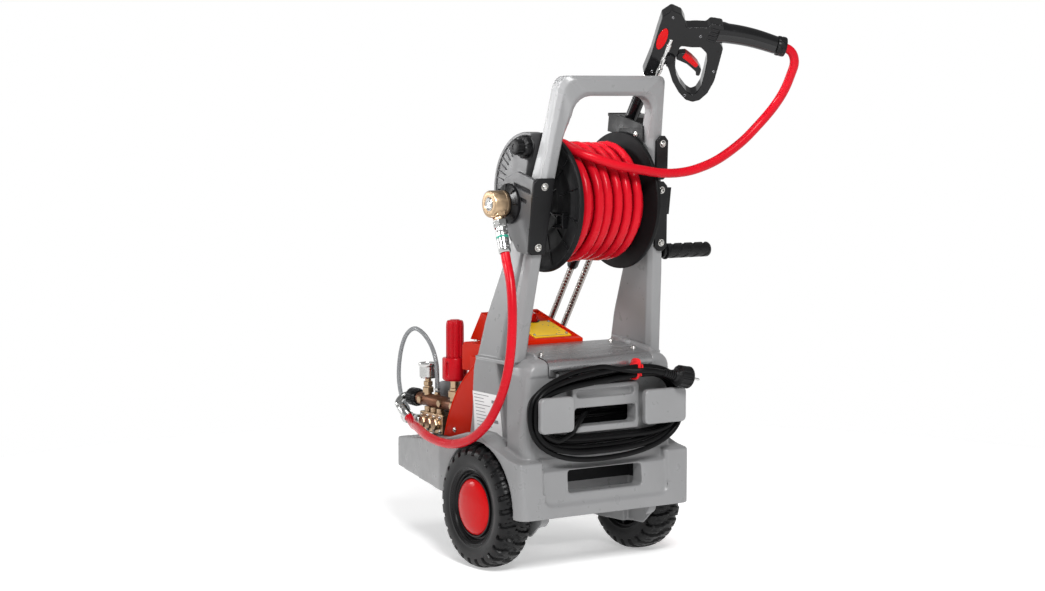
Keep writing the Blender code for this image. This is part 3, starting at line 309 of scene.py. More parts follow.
def block(name, low, high, mat, **kw):
    (x0, y0, z0), (x1, y1, z1) = low, high
    return prism(name, "Z", z0, z1, [(x0, y0), (x1, y0), (x1, y1), (x0, y1)], mat, **kw)


def rounded(points, radius, steps=5):
    """The outline with its corners rounded, by one radius or by one for each corner."""
    count = len(points)
    radii = radius if isinstance(radius, (list, tuple)) else [radius] * count
    out = []
    for i, here in enumerate(points):
        corner = Vector(here)
        if radii[i] <= 0:
            out.append(tuple(corner))
            continue
        before, after = Vector(points[i - 1]) - corner, Vector(points[(i + 1) % count]) - corner
        reach = min(radii[i] / math.tan(before.angle(after) / 2), 0.48 * before.length, 0.48 * after.length)
        start, end = corner + before.normalized() * reach, corner + after.normalized() * reach
        for k in range(steps + 1):
            t = k / steps
            out.append(tuple(start * (1 - t) ** 2 + corner * 2 * t * (1 - t) + end * t ** 2))
    return out


def arc(centre, radius, start, sweep, steps):
    """Points along part of a circle; the angles are in degrees."""
    angles = [math.radians(start + sweep * k / steps) for k in range(steps + 1)]
    return [(centre[0] + radius * math.cos(a), centre[1] + radius * math.sin(a)) for a in angles]


def turned(name, centre, axis, profile, mat, segments=48, wobble=None, **kw):
    """Turns (distance along the axis, radius) points about the piece's own Z, then aims it."""
    ends_on_axis = profile[0][1] == 0 and profile[-1][1] == 0
    verts, rows = [], []
    for t, radius in profile:
        if radius == 0:
            verts.append((0, 0, t))
            rows.append([len(verts) - 1] * segments)
            continue
        rows.append(list(range(len(verts), len(verts) + segments)))
        for k in range(segments):
            angle = math.tau * k / segments
            r = wobble(t, radius, k) if wobble else radius
            verts.append((math.cos(angle) * r, math.sin(angle) * r, t))
    pairs = list(zip(rows, rows[1:])) + ([] if ends_on_axis else [(rows[-1], rows[0])])
    faces = []
    for low, high in pairs:
        for i in range(segments):
            j = (i + 1) % segments
            corners = [low[i], low[j], high[j], high[i]]
            faces.append([c for k, c in enumerate(corners) if c not in corners[:k]])
    obj = add(name, verts, faces, mat, local=True, **kw)
    obj.rotation_mode = "QUATERNION"
    obj.rotation_quaternion = Vector(axis).to_track_quat("Z", "Y")
    obj.location = Vector(centre) + SHIFT
    return obj


def rod(name, centre, axis, low, high, radius, mat, segments=32, chamfer=0.0008, **kw):
    return turned(name, centre, axis, [(low, 0), (low, radius - chamfer), (low + chamfer, radius),
        (high - chamfer, radius), (high, radius - chamfer), (high, 0)], mat, segments, **kw)


def apply(obj):
    """Makes the modifiers' result the piece's own mesh."""
    bpy.context.view_layer.update()
    graph = bpy.context.evaluated_depsgraph_get()
    mesh = bpy.data.meshes.new_from_object(obj.evaluated_get(graph), depsgraph=graph)
    obj.modifiers.clear()
    obj.data = mesh
    return obj


def carve(obj, operation, *others):
    for other in others:
        modifier = obj.modifiers.new("carve", "BOOLEAN")
        modifier.operation, modifier.object, modifier.solver = operation, other, "EXACT"
    apply(obj)
    for other in others:
        bpy.data.objects.remove(other, do_unlink=True)
    return obj


def soften(obj, width, segments=3, angle=30.0):
    """Rounds the hard edges of a piece."""
    for edge in obj.data.edges:
        edge.use_edge_sharp = False
    obj.data.shade_smooth()
    bevel = obj.modifiers.new("bevel", "BEVEL")
    bevel.width, bevel.segments, bevel.limit_method = width, segments, "ANGLE"
    bevel.angle_limit, bevel.harden_normals = math.radians(angle), True
    bevel.use_clamp_overlap = True
    return obj


def solid(name, low, high, mat, width, segments=3, **kw):
    """A block with rounded edges."""
    return apply(soften(block(name, low, high, mat, **kw), width, segments))


def slab(name, axis, low, high, outline, mat, width, segments=3, angle=30.0, **kw):
    """A prism with rounded edges."""
    return apply(soften(prism(name, axis, low, high, outline, mat, **kw), width, segments, angle))


def melted(obj, mat, voxel, passes, keep):
    """Remeshes and smooths a piece, so that its edges round off as a moulding's do."""
    remesh = obj.modifiers.new("remesh", "REMESH")
    remesh.mode, remesh.voxel_size = "VOXEL", voxel
    smooth = obj.modifiers.new("smooth", "SMOOTH")
    smooth.factor, smooth.iterations = 0.5, passes
    obj.modifiers.new("thin", "DECIMATE").ratio = keep
    apply(obj)
    obj.data.materials.clear()
    obj.data.materials.append(mat)
    obj.data.shade_smooth()
    return obj


def either(sign, near, far):
    """A span that lies left (1) or right (-1) of the middle, low end first."""
    return sorted((sign * near, sign * far))


def joined(name, pieces):
    """Makes one piece of several that share a body; the first gives the origin."""
    first = pieces[0]
    bpy.context.view_layer.update()
    back = first.matrix_world.inverted()
    bm = bmesh.new()
    slots = []
    for piece in pieces:
        if piece.modifiers:
            apply(piece)
        mesh = piece.data
        mesh.transform(back @ piece.matrix_world)
        picks = []
        for mat in mesh.materials:
            if mat not in slots:
                slots.append(mat)
            picks.append(slots.index(mat))
        for polygon in mesh.polygons:
            polygon.material_index = picks[polygon.material_index] if picks else 0
        bm.from_mesh(mesh)
    mesh = bpy.data.meshes.new(name)
    bm.to_mesh(mesh)
    bm.free()
    for mat in slots:
        mesh.materials.append(mat)
    made = bpy.data.objects.new(name, mesh)
    made.rotation_mode = first.rotation_mode
    made.matrix_world = first.matrix_world
    made["body"] = first["body"]
    bpy.context.scene.collection.objects.link(made)
    for piece in pieces:
        bpy.data.objects.remove(piece, do_unlink=True)
    return made


def ride(obj, *replaced, slot=None):
    """Puts the piece on its body and hides the CAD pieces that it stands in for."""
    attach(obj, obj["body"])
    if replaced:
        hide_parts(*replaced)
    return obj


def hexagon(t, r, k, count=48):
    """Wobble that makes a turned ring a hexagon."""
    turn = (math.tau * k / count) % (math.tau / 6) - math.tau / 12
    return r * 0.93 / math.cos(turn)


def hexed(where, scale=1.0):
    """Wobble that makes a hexagon only of the rings picked by where(t, r)."""
    return lambda t, r, k: hexagon(t, r * scale, k) if where(t, r) else r


def notched(every, wide, depth, above):
    """Wobble that cuts a groove, wide points across, in every so many points beyond a radius."""
    return lambda t, r, k: r - (depth if k % every < wide and r > above else 0.0)


def radial(name, low, high, angle, centre, axis, mat, body, bevel=0.0008):
    """A block laid on a disc face at an angle: local Z follows the disc's axis."""
    obj = block(name, low, high, mat, local=True, body=body)
    if bevel:
        apply(soften(obj, bevel, 2))
    obj.rotation_mode = "QUATERNION"
    aim = Vector(axis).to_track_quat("Z", "Y")
    obj.rotation_quaternion = aim @ Matrix.Rotation(angle, 4, "Z").to_quaternion()
    obj.location = Vector(centre) + SHIFT
    return obj


# ---------------------------------------------------------------- cords
def smooth_route(points, spacing):
    """Points at even spacing on a smooth curve through the given ones."""
    pts = [Vector(p) for p in points]
    fine = []
    for a, b, c, d in zip(pts, pts[1:], pts[2:], pts[3:]):
        for k in range(24):
            t = k / 24
            fine.append(0.5 * ((2 * b) + (c - a) * t + (2 * a - 5 * b + 4 * c - d) * t ** 2
                + (3 * b - a - 3 * c + d) * t ** 3))
    fine = [pts[0]] + fine + [pts[-2], pts[-1]]
    out = [fine[0]]
    for p in fine[1:-1]:
        if (p - out[-1]).length >= spacing:
            out.append(p)
    if (fine[-1] - out[-1]).length < spacing * 0.5:
        out.pop()
    return out + [fine[-1]]


def cord(name, points, radius, mat, body="machine"):
    data = bpy.data.curves.new(name, "CURVE")
    data.dimensions = "3D"
    data.bevel_depth = radius
    data.bevel_resolution = 5
    data.use_fill_caps = True
    spline = data.splines.new("POLY")
    spline.points.add(len(points) - 1)
    for item, p in zip(spline.points, points):
        item.co = (*p, 1.0)
    spline.use_smooth = True
    data.materials.append(mat)
    obj = bpy.data.objects.new(name, data)
    obj.location = SHIFT
    obj["body"] = body
    bpy.context.scene.collection.objects.link(obj)
    return obj


def mesh_of(obj):
    """Turns a curve piece into a mesh piece."""
    bpy.context.view_layer.update()
    graph = bpy.context.evaluated_depsgraph_get()
    mesh = bpy.data.meshes.new_from_object(obj.evaluated_get(graph), depsgraph=graph)
    made = bpy.data.objects.new(obj.name, mesh)
    made.matrix_world = obj.matrix_world
    made["body"] = obj["body"]
    bpy.context.scene.collection.objects.link(made)
    bpy.data.objects.remove(obj, do_unlink=True)
    return made


def clamped(value):
    return max(0.0, min(1.0, value))


def along_way(start, way, distance):
    return tuple(Vector(start) + Vector(way).normalized() * distance)


ELBOW_AT, ELBOW_BEND = (0.09, -0.42, 0.2575), (0.1165, -0.409, 0.244)
ELBOW_WAY = (0.002, 0.041, -0.0215)
PORT_AT, PORT_WAY = (0.179, 0.036, 0.648), (0.007, 0.038, -0.086)
BYPASS_ROUTE = [(0.086, -0.424, 0.2268), (0.086, -0.4262, 0.231), (0.088, -0.434, 0.241),
    (0.092, -0.442, 0.258), (0.095, -0.445, 0.295), (0.094, -0.439, 0.339), (0.092, -0.422, 0.373),
    (0.09, -0.393, 0.389), (0.088, -0.36, 0.38), (0.087, -0.332, 0.356), (0.087, -0.317, 0.326),
    (0.087, -0.315, 0.29), (0.087, -0.315, 0.2752)]
SUPPLY_ROUTE = [along_way(ELBOW_BEND, ELBOW_WAY, 0.0463), along_way(ELBOW_BEND, ELBOW_WAY, 0.056),
    (0.131, -0.329, 0.214), (0.15, -0.285, 0.2175), (0.181, -0.203, 0.2155), (0.195, -0.1333, 0.213),
    (0.199, -0.0745, 0.2165), (0.2, -0.0142, 0.234), (0.2, 0.0368, 0.2657), (0.2, 0.0739, 0.3076),
    (0.2, 0.0963, 0.3473), (0.199, 0.11, 0.3976), (0.196, 0.111, 0.46), (0.191, 0.098, 0.515),
    along_way(PORT_AT, PORT_WAY, 0.105), along_way(PORT_AT, PORT_WAY, 0.0908)]
GUN_HOSE_ROUTE = [(0.068, -0.0505, 0.6968), (0.068, -0.0463, 0.7037), (0.0676, -0.03, 0.7248),
    (0.067, -0.0025, 0.745), (0.0662, 0.034, 0.754), (0.0645, 0.0737, 0.751), (0.061, 0.1035, 0.739),
    (0.04, 0.124, 0.729), (0.0, 0.14, 0.715), (-0.045, 0.152, 0.706), (-0.085, 0.157, 0.7),
    (-0.12, 0.16, 0.7), (-0.155, 0.165, 0.706), (-0.196, 0.173, 0.722), (-0.24, 0.182, 0.751),
    (-0.275, 0.189, 0.783), (-0.298, 0.203, 0.815), (-0.307, 0.221, 0.845), (-0.3095, 0.236, 0.874),
    (-0.309, 0.244, 0.89), (-0.305, 0.2468, 0.903), (-0.299, 0.246, 0.912), (-0.2915, 0.2425, 0.9175),
    (-0.286, 0.24, 0.92)]


def wound_hose():
    """Three layers of hose on the drum, as one line from the hub out to the run to the gun."""
    points = []
    edge = 0.068
    layers = ((9, 0.064), (9, 0.0808), (6.5, 0.0976))
    total = sum(turns for turns, radius in layers)
    done = 0
    for index, (turns, radius) in enumerate(layers):
        inner = layers[index - 1][1] if index else radius
        steps = int(turns * 28)
        for k in range(0 if index == 0 else 1, steps + 1):
            share = k / steps
            side = -edge + 2 * edge * share
            x = -side if index == 1 else side
            climb = min(1.0, share * turns / 0.35)
            r = inner + (radius - inner) * climb * climb * (3 - 2 * climb)
            angle = math.radians(60) + math.tau * (total - done - share * turns)
            fade = min(1.0, 8 * share, 8 * (1 - share))
            if index == 2:
                x += fade * (0.0048 * math.sin(angle + 0.8) + 0.0016 * math.sin(0.43 * angle))
                r += fade * 0.0012 * math.sin(0.7 * angle + 1.0)
            points.append(Vector((x, DRUM[1] - r * math.sin(angle), DRUM[2] + r * math.cos(angle))))
        done += turns
    return points


CABLE_HEAD = [(-0.1095, 0.05, 0.285), (-0.1, 0.05, 0.285), (-0.06, 0.052, 0.285), (0.0, 0.07, 0.282),
    (0.028, 0.09, 0.279), (0.048, 0.1075, 0.2755), (0.06, 0.1172, 0.27), (0.07, 0.121, 0.2615),
    (0.078, 0.1225, 0.2525), (0.09, 0.1236, 0.2465)]
HANK_TURNS = [(0.1236, 0.1467, 0.3395, 0.234), (0.114, 0.1467, 0.3385, 0.237),
    (0.1044, 0.1467, 0.3385, 0.24), (0.1044, 0.1563, 0.349, 0.229), (0.114, 0.1563, 0.3515, 0.221),
    (0.1236, 0.1563, 0.3545, 0.214), (0.119, 0.165, 0.366, 0.199)]


HANK_Z, HANK_REACH = 0.287, 0.1467          # middle height and least half width of the turns


def hank_point(turn, angle):
    """A point of one turn on the hooks, given its depth, reach, top and bottom."""
    y, reach, top, bottom = turn
    c, s = math.cos(angle), math.sin(angle)
    height = (top if s >= 0 else bottom) - HANK_Z
    power = 0.55 + 0.3 * (reach - HANK_REACH) / 0.02
    across = reach * math.copysign(abs(c) ** power, c)
    rise = -0.085 * across * max(0.0, s)
    return Vector((across, y, HANK_Z + height * abs(s) ** power + rise))


def cable_route():
    """The mains cable, out of the frame's slot and round the hooks."""
    loops = [Vector(p) for p in CABLE_HEAD]
    start, steps, count = math.radians(-55), 40, len(HANK_TURNS)
    for k in range(steps * (count - 1) + 15):
        turn, share = divmod(k, steps)
        share /= steps
        this, after = HANK_TURNS[turn], HANK_TURNS[min(turn + 1, count - 1)]
        mix = max(0.0, (share - 0.62) / 0.38)
        mix = mix * mix * (3 - 2 * mix)
        blend = [a + (b - a) * mix for a, b in zip(this, after)]
        loops.append(hank_point(blend, start + math.tau * k / steps))
    return loops


# ---------------------------------------------------------------- chassis
def copy_of(node, mat):
    """A working copy of a CAD piece with its split corners merged."""
    mesh = NODES[node].data.copy()
    bm = bmesh.new()
    bm.from_mesh(mesh)
    bmesh.ops.remove_doubles(bm, verts=bm.verts, dist=1e-6)
    bmesh.ops.dissolve_limit(bm, angle_limit=0.002, verts=bm.verts, edges=bm.edges)
    bm.to_mesh(mesh)
    bm.free()
    obj = bpy.data.objects.new(node + "_look", mesh)
    obj["body"] = NODES[node]["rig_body"]
    bpy.context.scene.collection.objects.link(obj)
    mesh.materials.clear()
    mesh.materials.append(mat)
    return obj


def moulded(node, mat, voxel, passes, keep, cutters=(), extras=(), trim=None):
    """A softly rounded version of a CAD piece, as a plastic moulding has."""
    obj = copy_of(node, mat)
    if extras:
        carve(obj, "UNION", *extras)
    if cutters:
        carve(obj, "DIFFERENCE", *cutters)
    if trim:
        carve(obj, "INTERSECT", trim)
    return melted(obj, mat, voxel, passes, keep)


def softened(node, mat, width, segments=3, angle=30.0):
    return soften(copy_of(node, mat), width, segments, angle)


def bolt(at, way, r):
    """Domed hex-socket screw head on a washer."""
    def socket(t, ring, k):
        turn = (math.tau * k / 36) % (math.tau / 6) - math.tau / 12
        return ring if ring > r * 0.5 else ring * 0.87 / math.cos(turn)
    washer = turned("washer", at, way, [(-0.0004, 0), (-0.0004, r * 1.28), (0.0005, r * 1.34),
        (0.0011, r * 1.28), (0.0011, 0)], M["steel"], 36)
    head = turned("bolt", at, way, [(0.001, 0), (0.001, r), (0.001 + 0.3 * r, r * 0.98),
        (0.001 + 0.62 * r, r * 0.82), (0.001 + 0.78 * r, r * 0.52), (0.001 + 0.78 * r, r * 0.45),
        (0.001 + 0.3 * r, r * 0.43), (0.001 + 0.3 * r, 0)], M["steel"], 36, socket)
    return ride(joined("bolt", [washer, head]), slot="zinc_steel")


WEB_SWELL = [(0.225, 0.1415, -0.1112), (0.25, 0.1436, -0.1075), (0.28, 0.147, -0.1008),
    (0.32, 0.1536, -0.0895), (0.35, 0.1594, -0.0775), (0.364, 0.1613, -0.07), (0.3722, 0.1615, -0.0662)]


def cover_line():
    """Outer profile of the sheet cover, from its front edge over the top and down the back."""
    line = [(-0.0285, 0.3902), (0.01, 0.3876), (0.04, 0.3846), (0.064, 0.3812), (0.079, 0.3784)]
    return line + arc((0.0835, 0.3632), 0.0145, 78, -84, 6) + [(0.0988, 0.349)]


def web_x(z):
    """How far out the side panel's outer face is at height z."""
    for (z0, x0, _), (z1, x1, _) in zip(WEB_SWELL, WEB_SWELL[1:]):
        if z0 <= z <= z1:
            return max(0.142, x0 + (x1 - x0) * (z - z0) / (z1 - z0))
    return 0.142


def chassis():
    """Tub with its bumper and its cable hooks."""
    extras, cutters = [], []
    for sign in (1, -1):
        # rounded lower corners of the bumper's recess
        fillet = [(0.136, 0.1225), (0.109, 0.1225)] + arc((0.111, 0.1475), 0.02, -90, 90, 8)
        fillet = [(sign * x, z) for x, z in fillet + [(0.136, 0.1475)]]
        extras.append(prism("recess_fillet", "Y", 0.09, 0.1195, fillet, None))
        # side panel swells out to meet the upright's foot
        swell = []
        for z, out, front in WEB_SWELL:
            near, far = sign * 0.129, sign * out
            swell.append([(near, front, z), (far, front + 0.006, z), (far, 0.006, z), (near, 0.006, z)])
        extras.append(loft("web_swell", swell, None))
        # shoulder that meets the sheet cover flush and falls away to the side
        rings = []
        for x, drop, pull in ((0.1122, 0.0006, 0.0004), (0.13, 0.001, 0.0006), (0.14, 0.004, 0.001),
                (0.147, 0.009, 0.002), (0.15, 0.015, 0.004)):
            line = [(sign * x, y - pull, z - drop) for y, z in cover_line() if z > 0.35]
            rings.append([(sign * x, 0.02, 0.35), (sign * x, 0.02, 0.3862 - drop)]
                + [q for q in line if q[1] > 0.03] + [(sign * x, 0.0975 - pull, 0.35)])
        extras.append(loft("shoulder", rings, None))
        # shallow waist line along the flank of the nose
        lo, hi = either(sign, 0.176, 0.19)
        cutters.append(prism("waist", "X", lo, hi, [(-0.12, 0.133), (-0.12, 0.135), (0.115, 0.121),
            (0.115, 0.119)], None))
        lo, hi = either(sign, 0.06, 0.16)
        cutters.append(block("hook_space", (lo, 0.112, 0.25), (hi, 0.15, 0.325), None))
        lo, hi = either(sign, 0.08, 0.16)
        cutters.append(block("stem_space", (lo, 0.0975, 0.25), (hi, 0.15, 0.325), None))
    plan = [(0.115, -0.4205), (0.181, -0.155), (0.1835, 0.04), (0.1835, 0.1215)]
    plan = plan + [(-x, y) for x, y in reversed(plan)]
    plan = rounded(plan, [0.02, 0.05, 0, 0.024, 0.024, 0, 0.05, 0.02], 8)
    trim = prism("trim", "Z", 0.0, 0.45, plan, None)
    # sloping rim round the bumper's recess
    draft = []
    for half, low, face, fall, base, radius in ((0.1308, 0.1277, 0.1146, 0.0885, 0.1275, 0.02),
            (0.1375, 0.121, 0.1222, 0.081, 0.1035, 0.024)):
        outline = rounded([(-half, low), (half, low), (half, 0.23), (-half, 0.23)], radius, 8)
        draft.append([(x, face - fall * (z - base), z) for x, z in outline])
    cutters.append(loft("recess_rim", draft, None))
    slot = rounded([(-0.066, 0.2595), (0.066, 0.2595), (0.066, 0.27), (-0.066, 0.27)], 0.004, 3)
    cutters.append(prism("slot_look", "Y", 0.07, 0.12, slot, None))
    shell = moulded("chassis", M["grey"], 0.0019, 5, 0.32, cutters, extras, trim)
    hooks = []
    for sign in (1, -1):
        lo, hi = either(sign, 0.092, 0.14)
        stem = rounded([(lo, 0.268), (hi, 0.268), (hi, 0.306), (lo, 0.306)], 0.007, 5)
        hooks.append(prism("hook_stem", "Y", 0.0935, 0.131, stem, M["grey"]))
        lo, hi = (0.0862, 0.156) if sign > 0 else (-0.156, -0.0655)
        face = rounded([(lo, 0.256), (hi, 0.256), (hi, 0.318), (lo, 0.318)], 0.0105, 7)
        hooks.append(slab("hook_plate", "Y", 0.1283, 0.1412, face, M["grey"], 0.0036, 4, 40))
    shell = joined("chassis_look", [shell] + hooks)
    ride(shell, "chassis", slot="grey_plastic")


def inside_frame():
    """Conduits and terminal box that are seen through the frame's slots, and dark sheets inside the tub that
    stand in for its shade (painted shade).
    """
    for z in (0.27, 0.281):
        ride(rod("inner_conduit", (0, 0.062, z), ACROSS, -0.09, 0.06, 0.0042, M["cable"]),
            slot="cable_rubber")
    # dark sheets round the inside of the tub: painted shade, so that no lit wall shows through the openings
    shade_sheets = [block("tub_shade_sheet", (-0.119, 0.017, 0.145), (0.119, 0.019, 0.335), M["dark"])]
    for side in (1, -1):
        lo, hi = either(side, 0.1175, 0.1192)
        shade_sheets.append(block("tub_shade_sheet", (lo, 0.017, 0.145), (hi, 0.082, 0.275), M["dark"]))
    ride(joined("tub_shade_sheet", shade_sheets))
    ride(solid("terminal_box", (-0.06, 0.026, 0.286), (0.045, 0.056, 0.35), M["dark"], 0.004),
        slot="charcoal_plastic")


def type_plate():
    """Type plate with blank lines on the left-hand web."""
    rows = []
    for k in range(9):
        z = 0.233 + 0.075 * k / 8
        front = -0.095 + 0.009 * k / 8
        x = web_x(z)
        rows.append([(x - 0.001, front, z), (x + 0.0006, front, z), (x + 0.0006, -0.0025, z),
            (x - 0.001, -0.0025, z)])
    plate = loft("type_plate", rows, M["plate"])
    lines = []
    for i in range(11):
        z = 0.303 - 0.0062 * i
        x = web_x(z) + 0.0006
        end = -0.052 if i % 3 else -0.034
        lines.append(block("print_line", (x - 0.0002, -0.083, z - 0.0006), (x + 0.00015, end, z + 0.0006),
            M["ink"]))
    for i in range(3):
        z = 0.296 - 0.018 * i
        x = web_x(z) + 0.0006
        lines.append(block("print_mark", (x - 0.0002, -0.026, z - 0.0045),
            (x + 0.00015, -0.012, z + 0.0045), M["ink"]))
    ride(joined("type_plate", [plate] + lines))


def handle():
    """Handle frame; its feet reach a little into the chassis so that no seam shows."""
    foot = [(0.129, -0.064), (0.1612, -0.064), (0.1612, 0.056), (0.129, 0.056)]
    extras = []
    for sign in (1, -1):
        rings = [[(sign * x, y * (1.0 if z > 0.37 else 0.97), z) for x, y in foot] for z in (0.366, 0.374)]
        extras.append(loft("foot_extra", rings, None))
    ride(moulded("handle_frame", M["grey"], 0.0017, 3, 0.45, (), extras), "handle_frame", slot="grey_plastic")


def sheet_cover():
    """Bright sheet over the front edge and down the back of the tub."""
    line = cover_line()
    under = [(y - 0.0013 if i > 4 else y, z - 0.0012) for i, (y, z) in enumerate(line)][::-1]
    sheet = prism("cover_sheet", "X", -0.1115, 0.1115, line + under, M["sheet"], smooth=50)
    notches = [block("notch", (x - 0.0035, 0.094, 0.34), (x + 0.0035, 0.105, 0.3555), None)
        for x in (-0.093, 0.093)]
    carve(sheet, "DIFFERENCE", *notches)
    ride(sheet, "top_cover", slot="silver_sheet")
    for x in (-0.1, 0.1):
        bolt((x, 0.056, 0.3823), (0, 0.12, 1), 0.0042)
        bolt((x, -0.014, 0.3888), (0, 0.07, 1), 0.0042)


# ---------------------------------------------------------------- wheels
TYRE_HALF = 0.0325


def tyre(label, sign):
    """Tyre with staggered lugs, a zigzag groove in the middle and pits in the lugs."""
    count, lugs, groove = 364, 26, 0.0046
    rows = [(-0.029, 0.068, 0), (-0.0315, 0.0715, 0), (-0.0312, 0.075, 0), (-0.032, 0.077, 0),
        (-0.0325, 0.084, 0), (-0.0325, 0.089, 0), (-0.0322, 0.092, 0.0), (-0.032, 0.0935, 1),
        (-0.0312, 0.097, 1), (-0.0295, 0.1005, 1), (-0.027, 0.1036, 1), (-0.024, 0.1058, 1),
        (-0.0205, 0.1074, 1), (-0.0165, 0.1085, 1), (-0.012, 0.1092, 1), (-0.0075, 0.1096, 1),
        (-0.004, 0.1098, 1), (-0.0014, 0.1099, 1)]
    rows = rows + [(-t, r, w) for t, r, w in reversed(rows)]
    verts, faces = [], []
    for i, (t, r, w) in enumerate(rows):
        before, after = rows[max(0, i - 1)], rows[min(len(rows) - 1, i + 1)]
        along_row = Vector((after[0] - before[0], after[1] - before[1])).normalized()
        out = Vector((-along_row.y, along_row.x))
        for k in range(count):
            turn = k / count
            shift = 0.5 if t < 0 else 0.0
            reach = abs(t) / TYRE_HALF
            phase = (turn * lugs + shift + 0.3 * reach) % 1.0
            cut = clamped((0.17 - abs(phase - 0.5)) / 0.03) if w else 0.0
            zig = 0.002 * (1 if (turn * lugs + shift) % 1.0 < 0.5 else -1)
            mid = clamped((0.0032 - abs(t - zig)) / 0.0012) if w else 0.0
            pit = 0.45 if w and 0.4 < reach < 0.72 and abs((phase + 0.5) % 1.0 - 0.5) < 0.07 else 0.0
            depth = groove * max(cut, 0.85 * mid, pit)
            spot = Vector((t, r)) - out * depth
            angle = math.tau * turn
            verts.append((sign * spot.x, spot.y * math.cos(angle), spot.y * math.sin(angle)))
    for i in range(len(rows)):
        j = (i + 1) % len(rows)
        for k in range(count):
            n = (k + 1) % count
            faces.append([i * count + k, i * count + n, j * count + n, j * count + k])
    obj = add("tyre_look_" + label, verts, faces, M["tyre"], body="wheel_" + label, smooth=32, local=True)
    obj.location = Vector((sign * WHEEL[0], WHEEL[1], WHEEL[2])) + SHIFT
    return ride(obj, "tyre_" + label, slot="tyre_rubber")


def wheels():
    """Wheels, axle and the front foot."""
    half = TYRE_HALF
    for sign, label in ((1, "left"), (-1, "right")):
        tyre(label, sign)
        centre, body = (sign * WHEEL[0], WHEEL[1], WHEEL[2]), "wheel_" + label
        rim = [(-0.026, 0.0084), (half - 0.011, 0.0084), (half - 0.011, 0.049), (half - 0.007, 0.0505),
            (half - 0.0055, 0.052), (half - 0.006, 0.0538), (half - 0.0115, 0.0552),
            (half - 0.0118, 0.0575), (half - 0.007, 0.0592), (half - 0.006, 0.0604),
            (half - 0.0075, 0.0618), (half - 0.008, 0.0632), (half - 0.0035, 0.065),
            (half - 0.0022, 0.0668), (half - 0.003, 0.0685), (half - 0.01, 0.0692), (-half + 0.008, 0.0692),
            (-half + 0.005, 0.068), (-half + 0.005, 0.0655), (-half + 0.01, 0.064), (-0.012, 0.056),
            (-0.01, 0.03), (-0.02, 0.02), (-0.026, 0.018)]
        disc = turned("rim_look_" + label, centre, (sign, 0, 0), rim, M["black"], 96, body=body)
        spokes = [radial("rim_rib", (-0.0022, 0.018, -0.026), (0.0022, 0.064, -0.01), math.tau * k / 8,
            centre, (sign, 0, 0), M["black"], body, 0) for k in range(8)]
        ride(joined("rim_look_" + label, [disc] + spokes), "rim_" + label, slot="black_plastic")
        dome = [(half - 0.0105, 0), (half - 0.0105, 0.05)]
        for k in range(15):
            angle = math.pi / 2 * k / 14
            dome.append((half - 0.01 + 0.014 * math.sin(angle) ** 0.8, 0.0502 * math.cos(angle)))
        dome[-1] = (half + 0.004, 0)
        ride(turned("hub_cap_look_" + label, centre, (sign, 0, 0), dome, M["cap"], 96, body=body),
            "hub_cap_" + label, slot="red_plastic")
    ends = rod("axle_look", (0, *WHEEL[1:]), ACROSS, -0.1985, 0.1985, 0.008, M["steel"], 40, 0.0015)
    collars = [turned("axle_collar", (x, *WHEEL[1:]), ACROSS, [(-0.0025, 0.0079), (-0.0025, 0.0125),
        (0.0025, 0.0125), (0.0025, 0.0079)], M["steel"], 40) for x in (-0.1285, 0.1285)]
    ride(joined("axle_look", [ends] + collars), "axle", slot="zinc_steel")
    pad = prism("foot_look", "X", -0.045, 0.045, rounded([(-0.263, 0.0), (-0.209, 0.0), (-0.209, 0.0117),
        (-0.263, 0.0117)], [0.004, 0.004, 0.001, 0.001], 4), M["rubber"])
    grooves = [block("groove", (x - 0.0012, -0.27, -0.001), (x + 0.0012, -0.2, 0.0016), None)
        for x in (-0.036, -0.024, -0.012, 0.0, 0.012, 0.024, 0.036)]
    carve(pad, "DIFFERENCE", *grooves)
    ride(pad, "foot_pad", slot="rubber")


